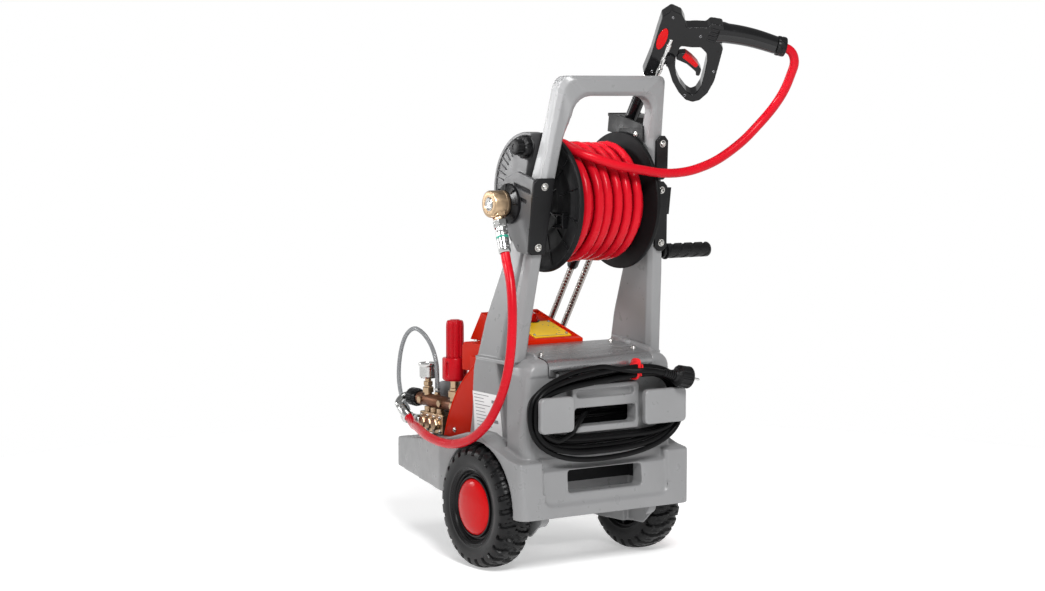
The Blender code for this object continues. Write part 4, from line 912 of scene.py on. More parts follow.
# ---------------------------------------------------------------- motor and pump
def motor():
    """Finned motor with its feet, cowl, fan and shaft."""
    fins = 32

    def finned(t, r, k):
        if r < 0.0719 or not -0.182 < t < -0.072:
            return r
        return r if k % 6 < 3 else r - 0.0055
    shell = [(-0.2, 0.0088), (-0.2, 0.03), (-0.203, 0.034), (-0.203, 0.052), (-0.198, 0.06),
        (-0.188, 0.064), (-0.1845, 0.0655), (-0.1815, 0.0655), (-0.1812, 0.072), (-0.0725, 0.072),
        (-0.072, 0.0655), (-0.066, 0.066), (-0.0556, 0.066), (-0.0556, 0.0088), (-0.062, 0.0088),
        (-0.062, 0.06), (-0.18, 0.06), (-0.18, 0.0088)]
    case = turned("motor_look", MOTOR, BACK, shell, M["alloy"], fins * 6, finned, smooth=25)
    feet = []
    for y in (-0.175, -0.11):
        for side in (-1, 1):
            x = MOTOR[0] + side * 0.033
            feet.append(solid("motor_foot", (x - 0.012, y, 0.1413), (x + 0.012, y + 0.03, 0.2), M["alloy"],
                0.002))
        feet.append(solid("motor_base", (MOTOR[0] - 0.05, y - 0.002, 0.1413),
            (MOTOR[0] + 0.05, y + 0.032, 0.1478), M["alloy"], 0.0015))
    ride(joined("motor_look", [case] + feet), "motor_housing", slot="cast_alloy")
    for y in (-0.16, -0.095):
        for side in (-1, 1):
            bolt((MOTOR[0] + side * 0.0475, y, 0.1478), UP, 0.004)
    cowl = [(-0.0552, 0.0672), (-0.0552, 0.0692), (-0.025, 0.0692), (-0.0205, 0.0665), (-0.0197, 0.064),
        (-0.0197, 0.056), (-0.0215, 0.056), (-0.0215, 0.063), (-0.026, 0.0672)]
    rings = [turned("cowl_look", MOTOR, BACK, cowl, M["black"], 72)]
    for r in (0.048, 0.039, 0.03):
        rings.append(turned("cowl_ring", MOTOR, BACK, [(-0.0215, r), (-0.0197, r), (-0.0197, r + 0.0032),
            (-0.0215, r + 0.0032)], M["black"], 72))
    for k in range(6):
        rings.append(radial("cowl_bar", (-0.0013, 0.012, -0.0215), (0.0013, 0.058, -0.0199),
            math.tau * k / 6, MOTOR, BACK, M["black"], "machine", 0))
    ride(joined("cowl_look", rings), "fan_cowl", slot="black_plastic")
    ride(softened("cooling_fan", M["black"], 0.0006, 2), "cooling_fan", slot="black_plastic")
    ride(softened("motor_shaft", M["steel"], 0.0006, 2, 40), "motor_shaft", slot="zinc_steel")


def hood():
    """Red sheet hood over the motor."""
    ride(softened("motor_hood", M["red"], 0.0007, 3, 40), "motor_hood", slot="red_paint")
    # rolled edge that follows the curved side plate
    edge = [(-0.237, 0.205), (-0.2262, 0.2347), (-0.2049, 0.2746), (-0.1804, 0.3051), (-0.1458, 0.3365),
        (-0.1118, 0.3582), (-0.0783, 0.3706), (-0.05, 0.376), (-0.014, 0.3762)]
    route = smooth_route([(0.1176, y, z) for y, z in edge], 0.006)
    ride(mesh_of(cord("hood_lip", route, 0.0021, M["red"])))
    for y, z in ((-0.2, 0.22), (-0.09, 0.356)):
        bolt((0.119, y, z), ACROSS, 0.0036)
    for x in (-0.06, 0.085):
        bolt((x, -0.1795, 0.3836), UP, 0.0036)
    ride(block("hood_seam", (-0.08, -0.156, 0.38305), (0.106, -0.1548, 0.38375), M["dark"]))


def switch_panel():
    """Switch box with a yellow plate and a turning knob."""
    ride(softened("switch_box", M["red"], 0.0012), "switch_box", slot="red_paint")
    front, rear = 0.437, 0.396
    lean = math.atan2(front - rear, 0.15)
    middle = Vector((0, -0.105, (front + rear) / 2)) + SHIFT

    def lay(obj):
        obj.location = middle
        obj.rotation_euler = (-lean, 0, 0)
        return obj
    plate = prism("plate_look", "Z", -0.0037, -0.0019, rounded([(-0.04, -0.02), (0.04, -0.02),
        (0.04, 0.056), (-0.04, 0.056)], 0.003, 4), M["yellow"], local=True)
    marks = []
    for k in range(7):
        angle = math.radians(200 + 140 * k / 6)
        mark = block("dial_mark", (-0.0006, 0.023, -0.0019), (0.0006, 0.027, -0.0016), M["ink"], local=True)
        mark.data.transform(Matrix.Translation((-0.005, 0.022, 0)) @ Matrix.Rotation(angle + math.pi, 4, "Z"))
        marks.append(mark)
    frame_line = block("panel_line", (-0.036, 0.05, -0.0019), (0.036, 0.0512, -0.0016), M["ink"], local=True)
    pieces = [lay(p) for p in [plate, frame_line] + marks]
    ride(joined("plate_look", pieces), "switch_plate", slot="yellow_plate")
    up = (0, math.sin(lean), math.cos(lean))
    for x, y in ((-0.035, -0.015), (0.035, -0.015), (-0.035, 0.045), (0.035, 0.045)):
        spot = middle - SHIFT + Matrix.Rotation(-lean, 3, "X") @ Vector((x, y, -0.0021))
        bolt(spot, up, 0.0021)
    knob_at = Vector((-0.005, -0.135, (front + rear) / 2 + 0.0082))
    skirt = turned("switch_skirt", knob_at, up, [(-0.0075, 0), (-0.0075, 0.019), (-0.006, 0.02),
        (-0.003, 0.0195), (-0.0018, 0.0175), (-0.0018, 0)], M["black"], 60)
    ride(skirt)
    base = turned("switch_look", knob_at, up, [(-0.0013, 0), (-0.0013, 0.0142), (0.0032, 0.014),
        (0.0042, 0.0128), (0.0042, 0)], M["cap"], 80, notched(4, 2, 0.0008, 0.012), body="switch_knob")
    grip = solid("switch_grip", (-0.0042, -0.0135, 0.003), (0.0042, 0.0135, 0.014), M["cap"], 0.0018,
        local=True, body="switch_knob")
    mark = block("switch_line", (-0.0007, 0.002, 0.0138), (0.0007, 0.0115, 0.0142), M["plate"], local=True,
        body="switch_knob")
    for part in (grip, mark):
        part.location = knob_at + SHIFT
        part.rotation_euler = (-lean, 0, 0)
    ride(joined("switch_look", [base, grip, mark]), "main_switch", slot="red_plastic")


def crankcase():
    """Pump housing with its ribs, oil window and oil cap."""
    case = softened("pump_crankcase", M["alloy"], 0.003, 4, 30)
    apply(case)
    fins = []
    for i in range(5):
        z = 0.166 + 0.026 * i
        fins.append(solid("case_fin", (-0.0478, -0.344, z - 0.0016), (-0.044, -0.212, z + 0.0016),
            M["alloy"], 0.001, 2))
    for i in range(4):
        y = -0.334 + 0.034 * i
        fins.append(solid("case_rib", (-0.03, y - 0.0016, 0.288 + 0.006 * i),
            (0.056, y + 0.0016, 0.2945 + 0.0038 * i), M["alloy"], 0.001, 2))
    cover = solid("case_cover", (-0.035, -0.3592, 0.16), (0.054, -0.355, 0.276), M["alloy"], 0.0016)
    ride(joined("case_look", [case, cover] + fins), "pump_crankcase", slot="cast_alloy")
    for cx in (-0.028, 0.047):
        for cz in (0.167, 0.269):
            bolt((cx, -0.3592, cz), (0, -1, 0), 0.0034)
    glass = turned("oil_window", (0.01, -0.3592, 0.208), (0, -1, 0), [(0, 0), (0, 0.015), (0.003, 0.015),
        (0.004, 0.0135), (0.004, 0.011), (0.0022, 0.0105), (0.0022, 0)], M["polished"], 48)
    disc = turned("oil_level", (0.01, -0.3592, 0.208), (0, -1, 0), [(0.002, 0), (0.002, 0.0104),
        (0.003, 0.01), (0.0036, 0)], M["crimson"], 48)
    ride(joined("oil_window", [glass, disc]))
    plug = turned("oil_cap", (0.02, -0.25, 0.2955), (0, 0.1, 1), [(0, 0), (0, 0.012), (0.009, 0.012),
        (0.011, 0.01), (0.011, 0)], M["crimson"], 60, notched(5, 2, 0.0008, 0.0115))
    ride(plug)


def valve_head():
    """Brass block with its valve caps, stubs and screws."""
    x = PUMP_X
    head = [solid("head_block", (0.0643, -0.362, 0.197), (0.0975, -0.28, 0.235), M["brass"], 0.0022)]
    for y in (-0.343, -0.321, -0.299):
        head.append(turned("stub", (x, y, 0.23), UP, [(0, 0), (0, 0.0085), (0.0055, 0.0085),
            (0.0065, 0.0072), (0.015, 0.0072), (0.015, 0)], M["brass"], 48,
            hexed(lambda t, r: t < 0.006 and r > 0.008, 1.06)))
        head.append(turned("cap", (0.096, y, 0.216), ACROSS, [(0, 0), (0, 0.0104), (0.009, 0.0104),
            (0.0106, 0.0092), (0.0106, 0)], M["brass"], 48, hexagon))
        head.append(turned("cap_top", (0.096, y, 0.216), ACROSS, [(0.0104, 0), (0.0104, 0.0058),
            (0.0112, 0.0052), (0.0112, 0)], M["brass"], 32))
    ride(joined("head_look", head), "pump_head", slot="brass")
    for y in (-0.354, -0.332, -0.31, -0.288):
        for z in (0.203, 0.229):
            bolt((0.0975, y, z), ACROSS, 0.0028)


def manifold():
    """Outlet bar with the stems of the gauge and the regulator, and the fluted outlet nut."""
    x = PUMP_X
    bar = turned("manifold_look", (x, 0, MANIFOLD_Z), BACK, [(-0.372, 0), (-0.372, 0.0105),
        (-0.3705, 0.0125), (-0.356, 0.0125), (-0.355, 0.0117), (-0.332, 0.0117), (-0.331, 0.0125),
        (-0.276, 0.0125), (-0.275, 0.0118), (-0.258, 0.0118), (-0.257, 0.0126), (-0.234, 0.0126),
        (-0.232, 0.0105), (-0.232, 0)], M["bronze"], 56)
    # name, place, profile up the axis, wobble
    fittings = (
        ("gauge_stem", (x, GAUGE_Y, 0.262),
            [(0, 0), (0, 0.0075), (0.023, 0.0075), (0.024, 0.006), (0.0355, 0.006), (0.0355, 0)], None),
        ("gauge_nut", (x, GAUGE_Y, 0.272),
            [(0, 0), (0, 0.0108), (0.009, 0.0108), (0.01, 0.0098), (0.01, 0)], hexagon),
        ("gauge_nut", (x, GAUGE_Y, 0.286),
            [(0, 0), (0, 0.0092), (0.006, 0.0092), (0.0068, 0.0084), (0.0068, 0)], hexagon),
        ("regulator_stem", (x, REGULATOR_Y, 0.262),
            [(0, 0), (0, 0.0098), (0.028, 0.0098), (0.029, 0.0086), (0.0424, 0.0086), (0.0424, 0)], None),
        ("regulator_nut", (x, REGULATOR_Y, 0.274),
            [(0, 0), (0, 0.0135), (0.01, 0.0135), (0.0112, 0.0122), (0.0112, 0)], hexagon),
        ("bypass_barb", (x - 0.003, -0.315, 0.262),
            [(0, 0), (0, 0.0062), (0.009, 0.0062), (0.009, 0.005), (0.0127, 0.005), (0.0127, 0)], None))
    pieces = [bar] + [turned(name, place, UP, profile, M["brass"], 48, wobble)
        for name, place, profile, wobble in fittings]
    pieces.append(turned("outlet_stem", (x, 0, MANIFOLD_Z), BACK, [(-0.406, 0), (-0.406, 0.0055),
        (-0.405, 0.0062), (-0.369, 0.0062), (-0.369, 0)], M["steel"], 48))
    for y in (-0.354, -0.282, -0.238):
        pieces.append(turned("banjo_nut", (0.102, y, MANIFOLD_Z), ACROSS,
            [(0, 0), (0, 0.0066), (0.003, 0.0066), (0.0036, 0.0058), (0.0036, 0)], M["brass"], 48, hexagon))
    ride(joined("manifold_look", pieces), "outlet_manifold", slot="dark_brass")
    nut = turned("nut_look", (x, -0.3885, MANIFOLD_Z), BACK, [(-0.0164, 0.0066), (-0.0164, 0.012),
        (-0.0155, 0.0152), (-0.0125, 0.0172), (0.006, 0.0175), (0.008, 0.0165), (0.0095, 0.0165),
        (0.0105, 0.0158), (0.016, 0.015), (0.016, 0.0066)], M["black"], 144, notched(6, 2, 0.0013, 0.014),
        body="outlet_nut", smooth=25)
    ride(nut, "coupling_nut", slot="black_plastic")


def outlet_and_inlet():
    """Elbow to the supply hose, and the water inlet below it."""
    x = PUMP_X
    bend = smooth_route([(x, -0.404, MANIFOLD_Z), (x, -0.413, MANIFOLD_Z), (0.0945, -0.4215, 0.2565),
        (0.106, -0.4205, 0.2505), (0.1155, -0.412, 0.245), along_way(ELBOW_BEND, ELBOW_WAY, 0.006),
        along_way(ELBOW_BEND, ELBOW_WAY, 0.02), along_way(ELBOW_BEND, ELBOW_WAY, 0.024)], 0.0015)
    elbow = [mesh_of(cord("elbow_pipe", bend, 0.007, M["polished"])),
        turned("elbow_tail", ELBOW_BEND, ELBOW_WAY, [(0.006, 0), (0.006, 0.0072), (0.007, 0.0086),
        (0.0145, 0.0086), (0.0152, 0.0076), (0.018, 0.0076), (0.0186, 0.0096), (0.024, 0.0096),
        (0.0246, 0.0088), (0.029, 0.0088), (0.0296, 0.0096), (0.045, 0.0098), (0.0466, 0.0088),
        (0.0466, 0)], M["polished"], 48, hexed(lambda t, r: 0.0065 < t < 0.015 and r > 0.008, 1.02))]
    ride(joined("elbow_look", elbow), "hose_elbow", slot="zinc_steel")
    inlet = turned("inlet_look", (x - 0.004, 0, 0.213), BACK, [(-0.44, 0), (-0.44, 0.004), (-0.436, 0.0042),
        (-0.436, 0.0066), (-0.44, 0.007), (-0.44, 0.0082), (-0.433, 0.0088), (-0.432, 0.0078),
        (-0.43, 0.0078), (-0.43, 0.0112), (-0.429, 0.0118), (-0.419, 0.0118), (-0.418, 0.011),
        (-0.418, 0.0086), (-0.408, 0.0086), (-0.4075, 0.01), (-0.4, 0.01), (-0.3995, 0.0086),
        (-0.39, 0.0086), (-0.39, 0.0112), (-0.389, 0.0118), (-0.379, 0.0118), (-0.378, 0.011),
        (-0.378, 0.0087), (-0.3623, 0.0087), (-0.3623, 0)], M["polished"], 48,
        hexed(lambda t, r: r > 0.0105 and t > -0.395))
    ride(inlet, "water_inlet", slot="zinc_steel")


def regulator():
    """Pressure regulator: slotted collar and fluted knob."""
    x = PUMP_X
    collar = turned("collar_look", (x, REGULATOR_Y, 0), UP, [(0.3048, 0), (0.3048, 0.0198),
        (0.3058, 0.0212), (0.3085, 0.0235), (0.311, 0.0238), (0.3455, 0.0238), (0.3475, 0.0228),
        (0.348, 0.0175), (0.34, 0.0172), (0.34, 0)], M["crimson"], 72)
    cuts = []
    for k in range(4):
        slot = solid("slot", (0.0205, -0.003, 0.317), (0.026, 0.003, 0.34), None, 0.0012, 2, local=True)
        slot.data.transform(Matrix.Rotation(math.tau * k / 4 + 0.35, 4, "Z"))
        slot.location = Vector((x, REGULATOR_Y, 0)) + SHIFT
        cuts.append(slot)
    carve(collar, "DIFFERENCE", *cuts)
    ride(collar, "regulator_collar", slot="red_plastic")
    rows = []
    for kz, r, depth in ((0.3403, 0.015, 0.0), (0.342, 0.0166, 0.0011), (0.37, 0.0166, 0.0012),
            (0.406, 0.0166, 0.0012), (0.411, 0.0163, 0.001), (0.415, 0.0155, 0.0006),
            (0.4172, 0.014, 0.0002), (0.4178, 0.011, 0.0), (0.4178, 0.009, 0.0), (0.4188, 0.0085, 0.0),
            (0.4188, 0.002, 0.0)):
        ring = []
        for k in range(160):
            angle = math.tau * k / 160
            wave = math.cos(angle * 10)
            flute = -depth * (1 if wave < -0.25 else (0.0 if wave > 0.1 else (0.1 - wave) / 0.35))
            ring.append((x + (r + flute) * math.cos(angle), REGULATOR_Y + (r + flute) * math.sin(angle), kz))
        rows.append(ring)
    ride(loft("regulator_look", rows, M["crimson"], body="pressure_knob", smooth=28), "regulator_knob",
        slot="red_plastic")


def gauge():
    """Pressure gauge with a face that lies flat."""
    at = (PUMP_X, GAUGE_Y, 0)
    case = turned("gauge_look", at, UP, [(0.2978, 0), (0.2978, 0.009), (0.299, 0.014), (0.302, 0.0163),
        (0.321, 0.0165), (0.3225, 0.0178), (0.326, 0.0186), (0.3278, 0.018), (0.3283, 0.0162),
        (0.327, 0.0152), (0.3225, 0.015), (0.3222, 0)], M["polished"], 72)
    dial = turned("gauge_dial", at, UP, [(0.3221, 0), (0.3221, 0.0149), (0.323, 0.0149), (0.323, 0)],
        M["plate"], 60)
    marks = []
    for k in range(11):
        angle = math.radians(-40 + 26 * k)
        mark = block("gauge_mark", (-0.0003 - 0.0002 * (k % 5 == 0), 0.0105, 0.323),
            (0.0003 + 0.0002 * (k % 5 == 0), 0.0138, 0.3232), M["ink"], local=True)
        mark.data.transform(Matrix.Rotation(angle, 4, "Z"))
        mark.location = Vector(at) + SHIFT
        marks.append(mark)
    needle = prism("needle", "Z", 0.3234, 0.3238, [(-0.0008, -0.004), (0.0008, -0.004), (0.0002, 0.0115),
        (-0.0002, 0.0115)], M["cap"], local=True)
    needle.data.transform(Matrix.Rotation(math.radians(-35), 4, "Z"))
    needle.location = Vector(at) + SHIFT
    hub = turned("needle_hub", at, UP, [(0.323, 0), (0.323, 0.0018), (0.3244, 0.0014), (0.3244, 0)],
        M["black"], 24)
    ride(joined("gauge_look", [case, dial, needle, hub] + marks), "gauge_case", slot="zinc_steel")
    lens = turned("lens_look", at, UP, [(0.3248, 0), (0.3248, 0.0148), (0.3262, 0.0149), (0.3272, 0.012),
        (0.3276, 0.006), (0.3277, 0)], M["glass"], 60)
    ride(lens, "gauge_lens", slot="glass")


# ---------------------------------------------------------------- hose drum
def drum():
    """Hose drum: core, flanges and hose clamp."""
    body = "hose_drum"
    core = turned("core_look", DRUM, ACROSS, [(-0.148, 0), (-0.148, 0.008), (-0.147, 0.009),
        (-0.087, 0.009), (-0.087, 0.019), (-0.0778, 0.02), (-0.0775, 0.055), (0.0775, 0.055),
        (0.0778, 0.02), (0.086, 0.0195), (0.087, 0.009), (0.16, 0.009), (0.1615, 0.0075), (0.1615, 0)],
        M["gloss"], 72, body=body)
    ride(core, "drum_core", slot="black_plastic")
    for sign, label in ((1, "left"), (-1, "right")):
        bore = 0.0203 if sign > 0 else 0.0093
        flange = [(0.0778, bore), (0.0868, bore), (0.0868, 0.029), (0.085, 0.032), (0.0832, 0.034),
            (0.0832, 0.048), (0.0846, 0.05), (0.0846, 0.054), (0.0822, 0.057), (0.0816, 0.06),
            (0.0816, 0.084), (0.083, 0.086), (0.083, 0.089), (0.0816, 0.091), (0.0816, 0.11),
            (0.0838, 0.114), (0.0858, 0.1165), (0.0862, 0.119), (0.0855, 0.1212), (0.0835, 0.1222),
            (0.08, 0.1222), (0.0782, 0.1212), (0.0778, 0.119)]
        pieces = [turned("flange_look_" + label, DRUM, (sign, 0, 0), flange, M["matt"], 128, body=body,
            smooth=40)]
        for k in range(12):
            pieces.append(radial("flange_rib", (-0.0011, 0.056, 0.0805), (0.0011, 0.113, 0.0832),
                math.tau * (k + 0.5) / 12, DRUM, (sign, 0, 0), M["gloss"], body))
        for k in range(6):
            pieces.append(radial("hub_rib", (-0.0014, 0.029, 0.082), (0.0014, 0.051, 0.085),
                math.tau * k / 6, DRUM, (sign, 0, 0), M["gloss"], body))
        ride(joined("flange_look_" + label, pieces), "drum_flange_" + label, slot="black_gloss_plastic")
    # moulded hose clamp on the left flange
    clamp = [solid("clamp", (0.0805, y0, z0), (x1, y1, z1), M["gloss"], 0.0014, body=body) for y0, z0, x1,
        y1, z1 in ((0.078, 0.606, 0.093, 0.112, 0.611), (0.078, 0.629, 0.093, 0.112, 0.634),
        (0.106, 0.606, 0.093, 0.111, 0.634), (0.082, 0.612, 0.0868, 0.106, 0.628))]
    ride(joined("hose_clamp", clamp), slot="black_gloss_plastic")


def crank():
    """Crank arm with its turning grip."""
    body = "hose_drum"
    span = Vector((CRANK[1] - DRUM[1], CRANK[2] - DRUM[2]))
    heading = math.degrees(math.atan2(span.y, span.x))
    arm = arc(DRUM[1:], 0.0145, heading + 90, 180, 14) + arc(CRANK[1:], 0.012, heading - 90, 180, 14)
    bar = slab("crank_look", "X", -0.1545, -0.1484, arm, M["black"], 0.0016, body=body)
    side = Vector((-span.y, span.x)).normalized()
    ends = [Vector((DRUM[1], DRUM[2])) + span * 0.1, Vector((DRUM[1], DRUM[2])) + span * 0.9]
    web = []
    for offset in (-0.0052, 0.0052):
        a, b = ends[0] + side * offset, ends[1] + side * offset
        thin = side * 0.0012
        corners = [a - thin, b - thin, b + thin, a + thin]
        web.append(slab("crank_rib", "X", -0.1568, -0.154, corners, M["black"], 0.0007, 2, body=body))
    boss = turned("crank_boss", DRUM, (-1, 0, 0), [(0.154, 0), (0.154, 0.0115), (0.157, 0.011),
        (0.158, 0.0095), (0.158, 0)], M["black"], 48, body=body)
    nut = turned("crank_nut", DRUM, (-1, 0, 0), [(0.1575, 0), (0.1575, 0.007), (0.1615, 0.007),
        (0.1625, 0.0058), (0.1625, 0)], M["steel"], 48, hexagon, body=body)
    pin = rod("crank_pin", (0, CRANK[1], CRANK[2]), ACROSS, -0.248, -0.15, 0.005, M["steel"], 40, body=body)
    ride(joined("crank_look", [bar, boss, nut, pin] + web), "crank_arm", slot="black_plastic")

    def ribbed(t, r, k):
        if r < 0.0118 or not -0.251 < t < -0.16:
            return r
        wave = (k / 96 * 3 + t / 0.023) % 1.0
        return r - (0.0016 if wave < 0.3 else 0.0)
    profile = [(-0.255, 0), (-0.255, 0.01), (-0.2535, 0.0122), (-0.2515, 0.0134)]
    profile += [(-0.2505 + 0.0895 * k / 60, 0.0136) for k in range(61)]
    profile += [(-0.1595, 0.0134), (-0.1575, 0.0152), (-0.156, 0.015), (-0.1552, 0.013), (-0.155, 0.0054),
        (-0.2484, 0.0054), (-0.2484, 0)]
    grip = turned("grip_look", (0, CRANK[1], CRANK[2]), ACROSS, profile, M["black"], 96, ribbed,
        body="crank_handle", smooth=28)
    ride(grip, "crank_grip", slot="black_plastic")


def winding():
    route = wound_hose()
    line = cord("wound_hose", route, HOSE_R, M["hose"], body="hose_drum")
    ride(line, "hose_winding", slot="red_hose")


def swivel():
    """Water swivel at the drum's left end."""
    hub = turned("hub_look", DRUM, ACROSS, [(0.1513, 0.0094), (0.1621, 0.0094), (0.1621, 0.0235),
        (0.161, 0.025), (0.158, 0.0325), (0.1565, 0.0345), (0.153, 0.0352), (0.1513, 0.0345)], M["black"],
        72)
    ribs = [radial("hub_web", (-0.0018, 0.022, 0.154), (0.0018, 0.0345, 0.1612), math.tau * k / 8, DRUM,
        ACROSS, M["black"], "machine") for k in range(8)]
    ride(joined("hub_look", [hub] + ribs), "swivel_hub", slot="black_plastic")
    body = turned("swivel_look", DRUM, ACROSS, [(0.1623, 0), (0.1623, 0.021), (0.1632, 0.0226),
        (0.165, 0.0236), (0.169, 0.0236), (0.1695, 0.0231), (0.1705, 0.0231), (0.171, 0.0236),
        (0.1915, 0.0236), (0.1935, 0.0226), (0.1945, 0.0205), (0.1945, 0.015), (0.1938, 0.0146),
        (0.1938, 0.0128), (0.1925, 0.0124), (0.1925, 0)], M["brass"], 96)
    cap = turned("swivel_cap", DRUM, ACROSS, [(0.1924, 0), (0.1924, 0.012), (0.1945, 0.0118),
        (0.1952, 0.0104), (0.1945, 0.0088), (0.1935, 0.0072), (0.1935, 0.0052), (0.1948, 0.0045),
        (0.1948, 0)], M["polished"], 60)
    port = turned("swivel_port", PORT_AT, PORT_WAY, [(0.008, 0), (0.008, 0.0125), (0.024, 0.0125),
        (0.0252, 0.0112), (0.0252, 0.0088), (0.0304, 0.0088), (0.0304, 0)], M["brass"], 48,
        hexed(lambda t, r: r > 0.012))
    ride(joined("swivel_look", [body, cap, port]), "swivel_body", slot="brass")
    ferrule = turned("ferrule_look", PORT_AT, PORT_WAY, [(0.0303, 0), (0.0303, 0.0105), (0.0315, 0.0116),
        (0.0435, 0.0116), (0.0447, 0.0105), (0.0447, 0.0088), (0.0495, 0.0088), (0.05, 0.01),
        (0.0512, 0.0106), (0.056, 0.0106), (0.0565, 0.01), (0.0585, 0.01), (0.059, 0.0106), (0.07, 0.0106),
        (0.0705, 0.0101), (0.0725, 0.0101), (0.073, 0.0106), (0.08, 0.0106), (0.0805, 0.0101),
        (0.0825, 0.0101), (0.083, 0.0106), (0.089, 0.0106), (0.0905, 0.0096), (0.0905, 0)], M["polished"],
        48, hexed(lambda t, r: t < 0.044 and r > 0.0104, 1.03))
    ring = turned("ferrule_ring", PORT_AT, PORT_WAY, [(0.06, 0.01), (0.06, 0.011), (0.0645, 0.011),
        (0.0645, 0.01)], M["green"], 48)
    ride(joined("ferrule_look", [ferrule, ring]), "supply_ferrule", slot="zinc_steel")


# ---------------------------------------------------------------- brackets and brake
REAR_LINE = [(0.3723, 0.06), (0.44, 0.069), (0.52, 0.081), (0.575, 0.089), (0.628, 0.096), (0.69, 0.105),
    (0.76, 0.116), (0.8, 0.1345)]


def surface_y(z):
    """How far back the rear face of the uprights is at height z."""
    for (z0, y0), (z1, y1) in zip(REAR_LINE, REAR_LINE[1:]):
        if z0 <= z <= z1:
            return y0 + (y1 - y0) * (z - z0) / (z1 - z0)
    return REAR_LINE[-1][1]


def on_rear(shape, *offsets):
    """An outline (x, z) laid on the uprights' rear face, once at each offset behind it."""
    return [[(x, surface_y(z) + offset, z) for x, z in shape] for offset in offsets]


def strap_x(z):
    """Middle of the right-hand upright's rear face at height z."""
    return (z - 0.5766) * 0.096 - 0.1312


def strap(name, low, high, half):
    """Long plate with cut corners that leans with the upright's rear face."""
    cut = 0.0085
    shape = [(-half, low + cut), (-half + cut, low), (half - cut, low), (half, low + cut),
        (half, high - cut), (half - cut, high), (-half + cut, high), (-half, high - cut)]
    rings = on_rear([(strap_x(z) + x, z) for x, z in shape], 0.0004, 0.0056)
    return apply(soften(loft(name, rings, M["black"]), 0.0014))


def brackets():
    """Straps and bearing on the right-hand upright."""
    ride(strap("strap_upper", 0.686, 0.764, 0.013), "bracket_right_upper", slot="black_plastic")
    lower = strap("strap_lower", 0.558, 0.683, 0.0135)
    cheek = [(0.016, 0.638), (0.028, 0.624), (0.0985, 0.624), (0.104, 0.672), (0.028, 0.672), (0.016, 0.66)]
    plate = slab("right_cheek", "X", -0.144, -0.1402, cheek, M["black"], 0.001)
    tab = [(-0.144, 0.624), (-0.126, 0.624), (-0.126, 0.672), (-0.144, 0.672)]
    corner = loft("right_tab", on_rear(tab, 0.0007, 0.005), M["black"])
    bearing = turned("right_bearing", DRUM, (-1, 0, 0), [(0.1402, 0.0094), (0.1402, 0.017), (0.146, 0.0165),
        (0.1472, 0.015), (0.1472, 0.0094)], M["charcoal"], 60)
    carve(plate, "DIFFERENCE", rod("bearing_hole", DRUM, ACROSS, -0.16, -0.13, 0.0094, None))
    ride(joined("strap_lower", [lower, plate, corner, bearing]), "bracket_right_lower", slot="black_plastic")
    for z in (0.6995, 0.75, 0.573, 0.6675):
        bolt((strap_x(z), surface_y(z) + 0.0056, z), (0, 1, -0.13), 0.005)


def left_bracket():
    """Bearing bracket at the drum's left end, with two louvres."""
    cheek = [(0.017, 0.61), (0.056, 0.566), (surface_y(0.56) + 0.003, 0.5612),
        (surface_y(0.69) + 0.003, 0.692), (0.06, 0.704), (0.017, 0.692)]
    rings = [[(x, y, z) for y, z in cheek] for x in (0.145, 0.1512)]
    # the bracket's face takes the lighter charcoal, a painted sheen
    face = loft("bracket_face", rings, M["satin"])
    cuts = [rod("bearing_hole", DRUM, ACROSS, 0.13, 0.17, 0.0094, None)]
    for y0, z0, y1, z1 in ((0.047, 0.685, 0.0985, 0.6735), (0.064, 0.661, 0.086, 0.6565)):
        slot = rounded([(y0, z0 - 0.0075), (y1, z1 - 0.0075), (y1, z1), (y0, z0)], 0.0034, 5)
        cuts.append(prism("louvre", "X", 0.1472, 0.16, slot, None))
    carve(face, "DIFFERENCE", *cuts)
    face = apply(soften(face, 0.0012))
    # dark plates at the bottom of the louvres, so that the slots look deep: painted shade
    louvre_shade_plates = []
    for y0, z0, y1, z1 in ((0.046, 0.686, 0.0995, 0.6745), (0.063, 0.662, 0.087, 0.6575)):
        shade = rounded([(y0, z0 - 0.0095), (y1, z1 - 0.0095), (y1, z1), (y0, z0)], 0.0034, 5)
        louvre_shade_plates.append(prism("louvre_painted_shade", "X", 0.146, 0.1477, shade, M["dark"]))
    shape = [(0.118, 0.561), (0.145, 0.561), (0.152, 0.567), (0.152, 0.686), (0.146, 0.6935), (0.109, 0.6935)]
    back = apply(soften(loft("bracket_strip", on_rear(shape, 0.0006, 0.0075), M["black"]), 0.0022))
    ride(joined("bracket_look", [back, face] + louvre_shade_plates), "bearing_bracket_left", slot="charcoal_plastic")
    for z in (0.574, 0.679):
        x = 0.1335 - (z - 0.574) * 0.035
        bolt((x, surface_y(z) + 0.0075, z), (0, 1, -0.13), 0.0052)


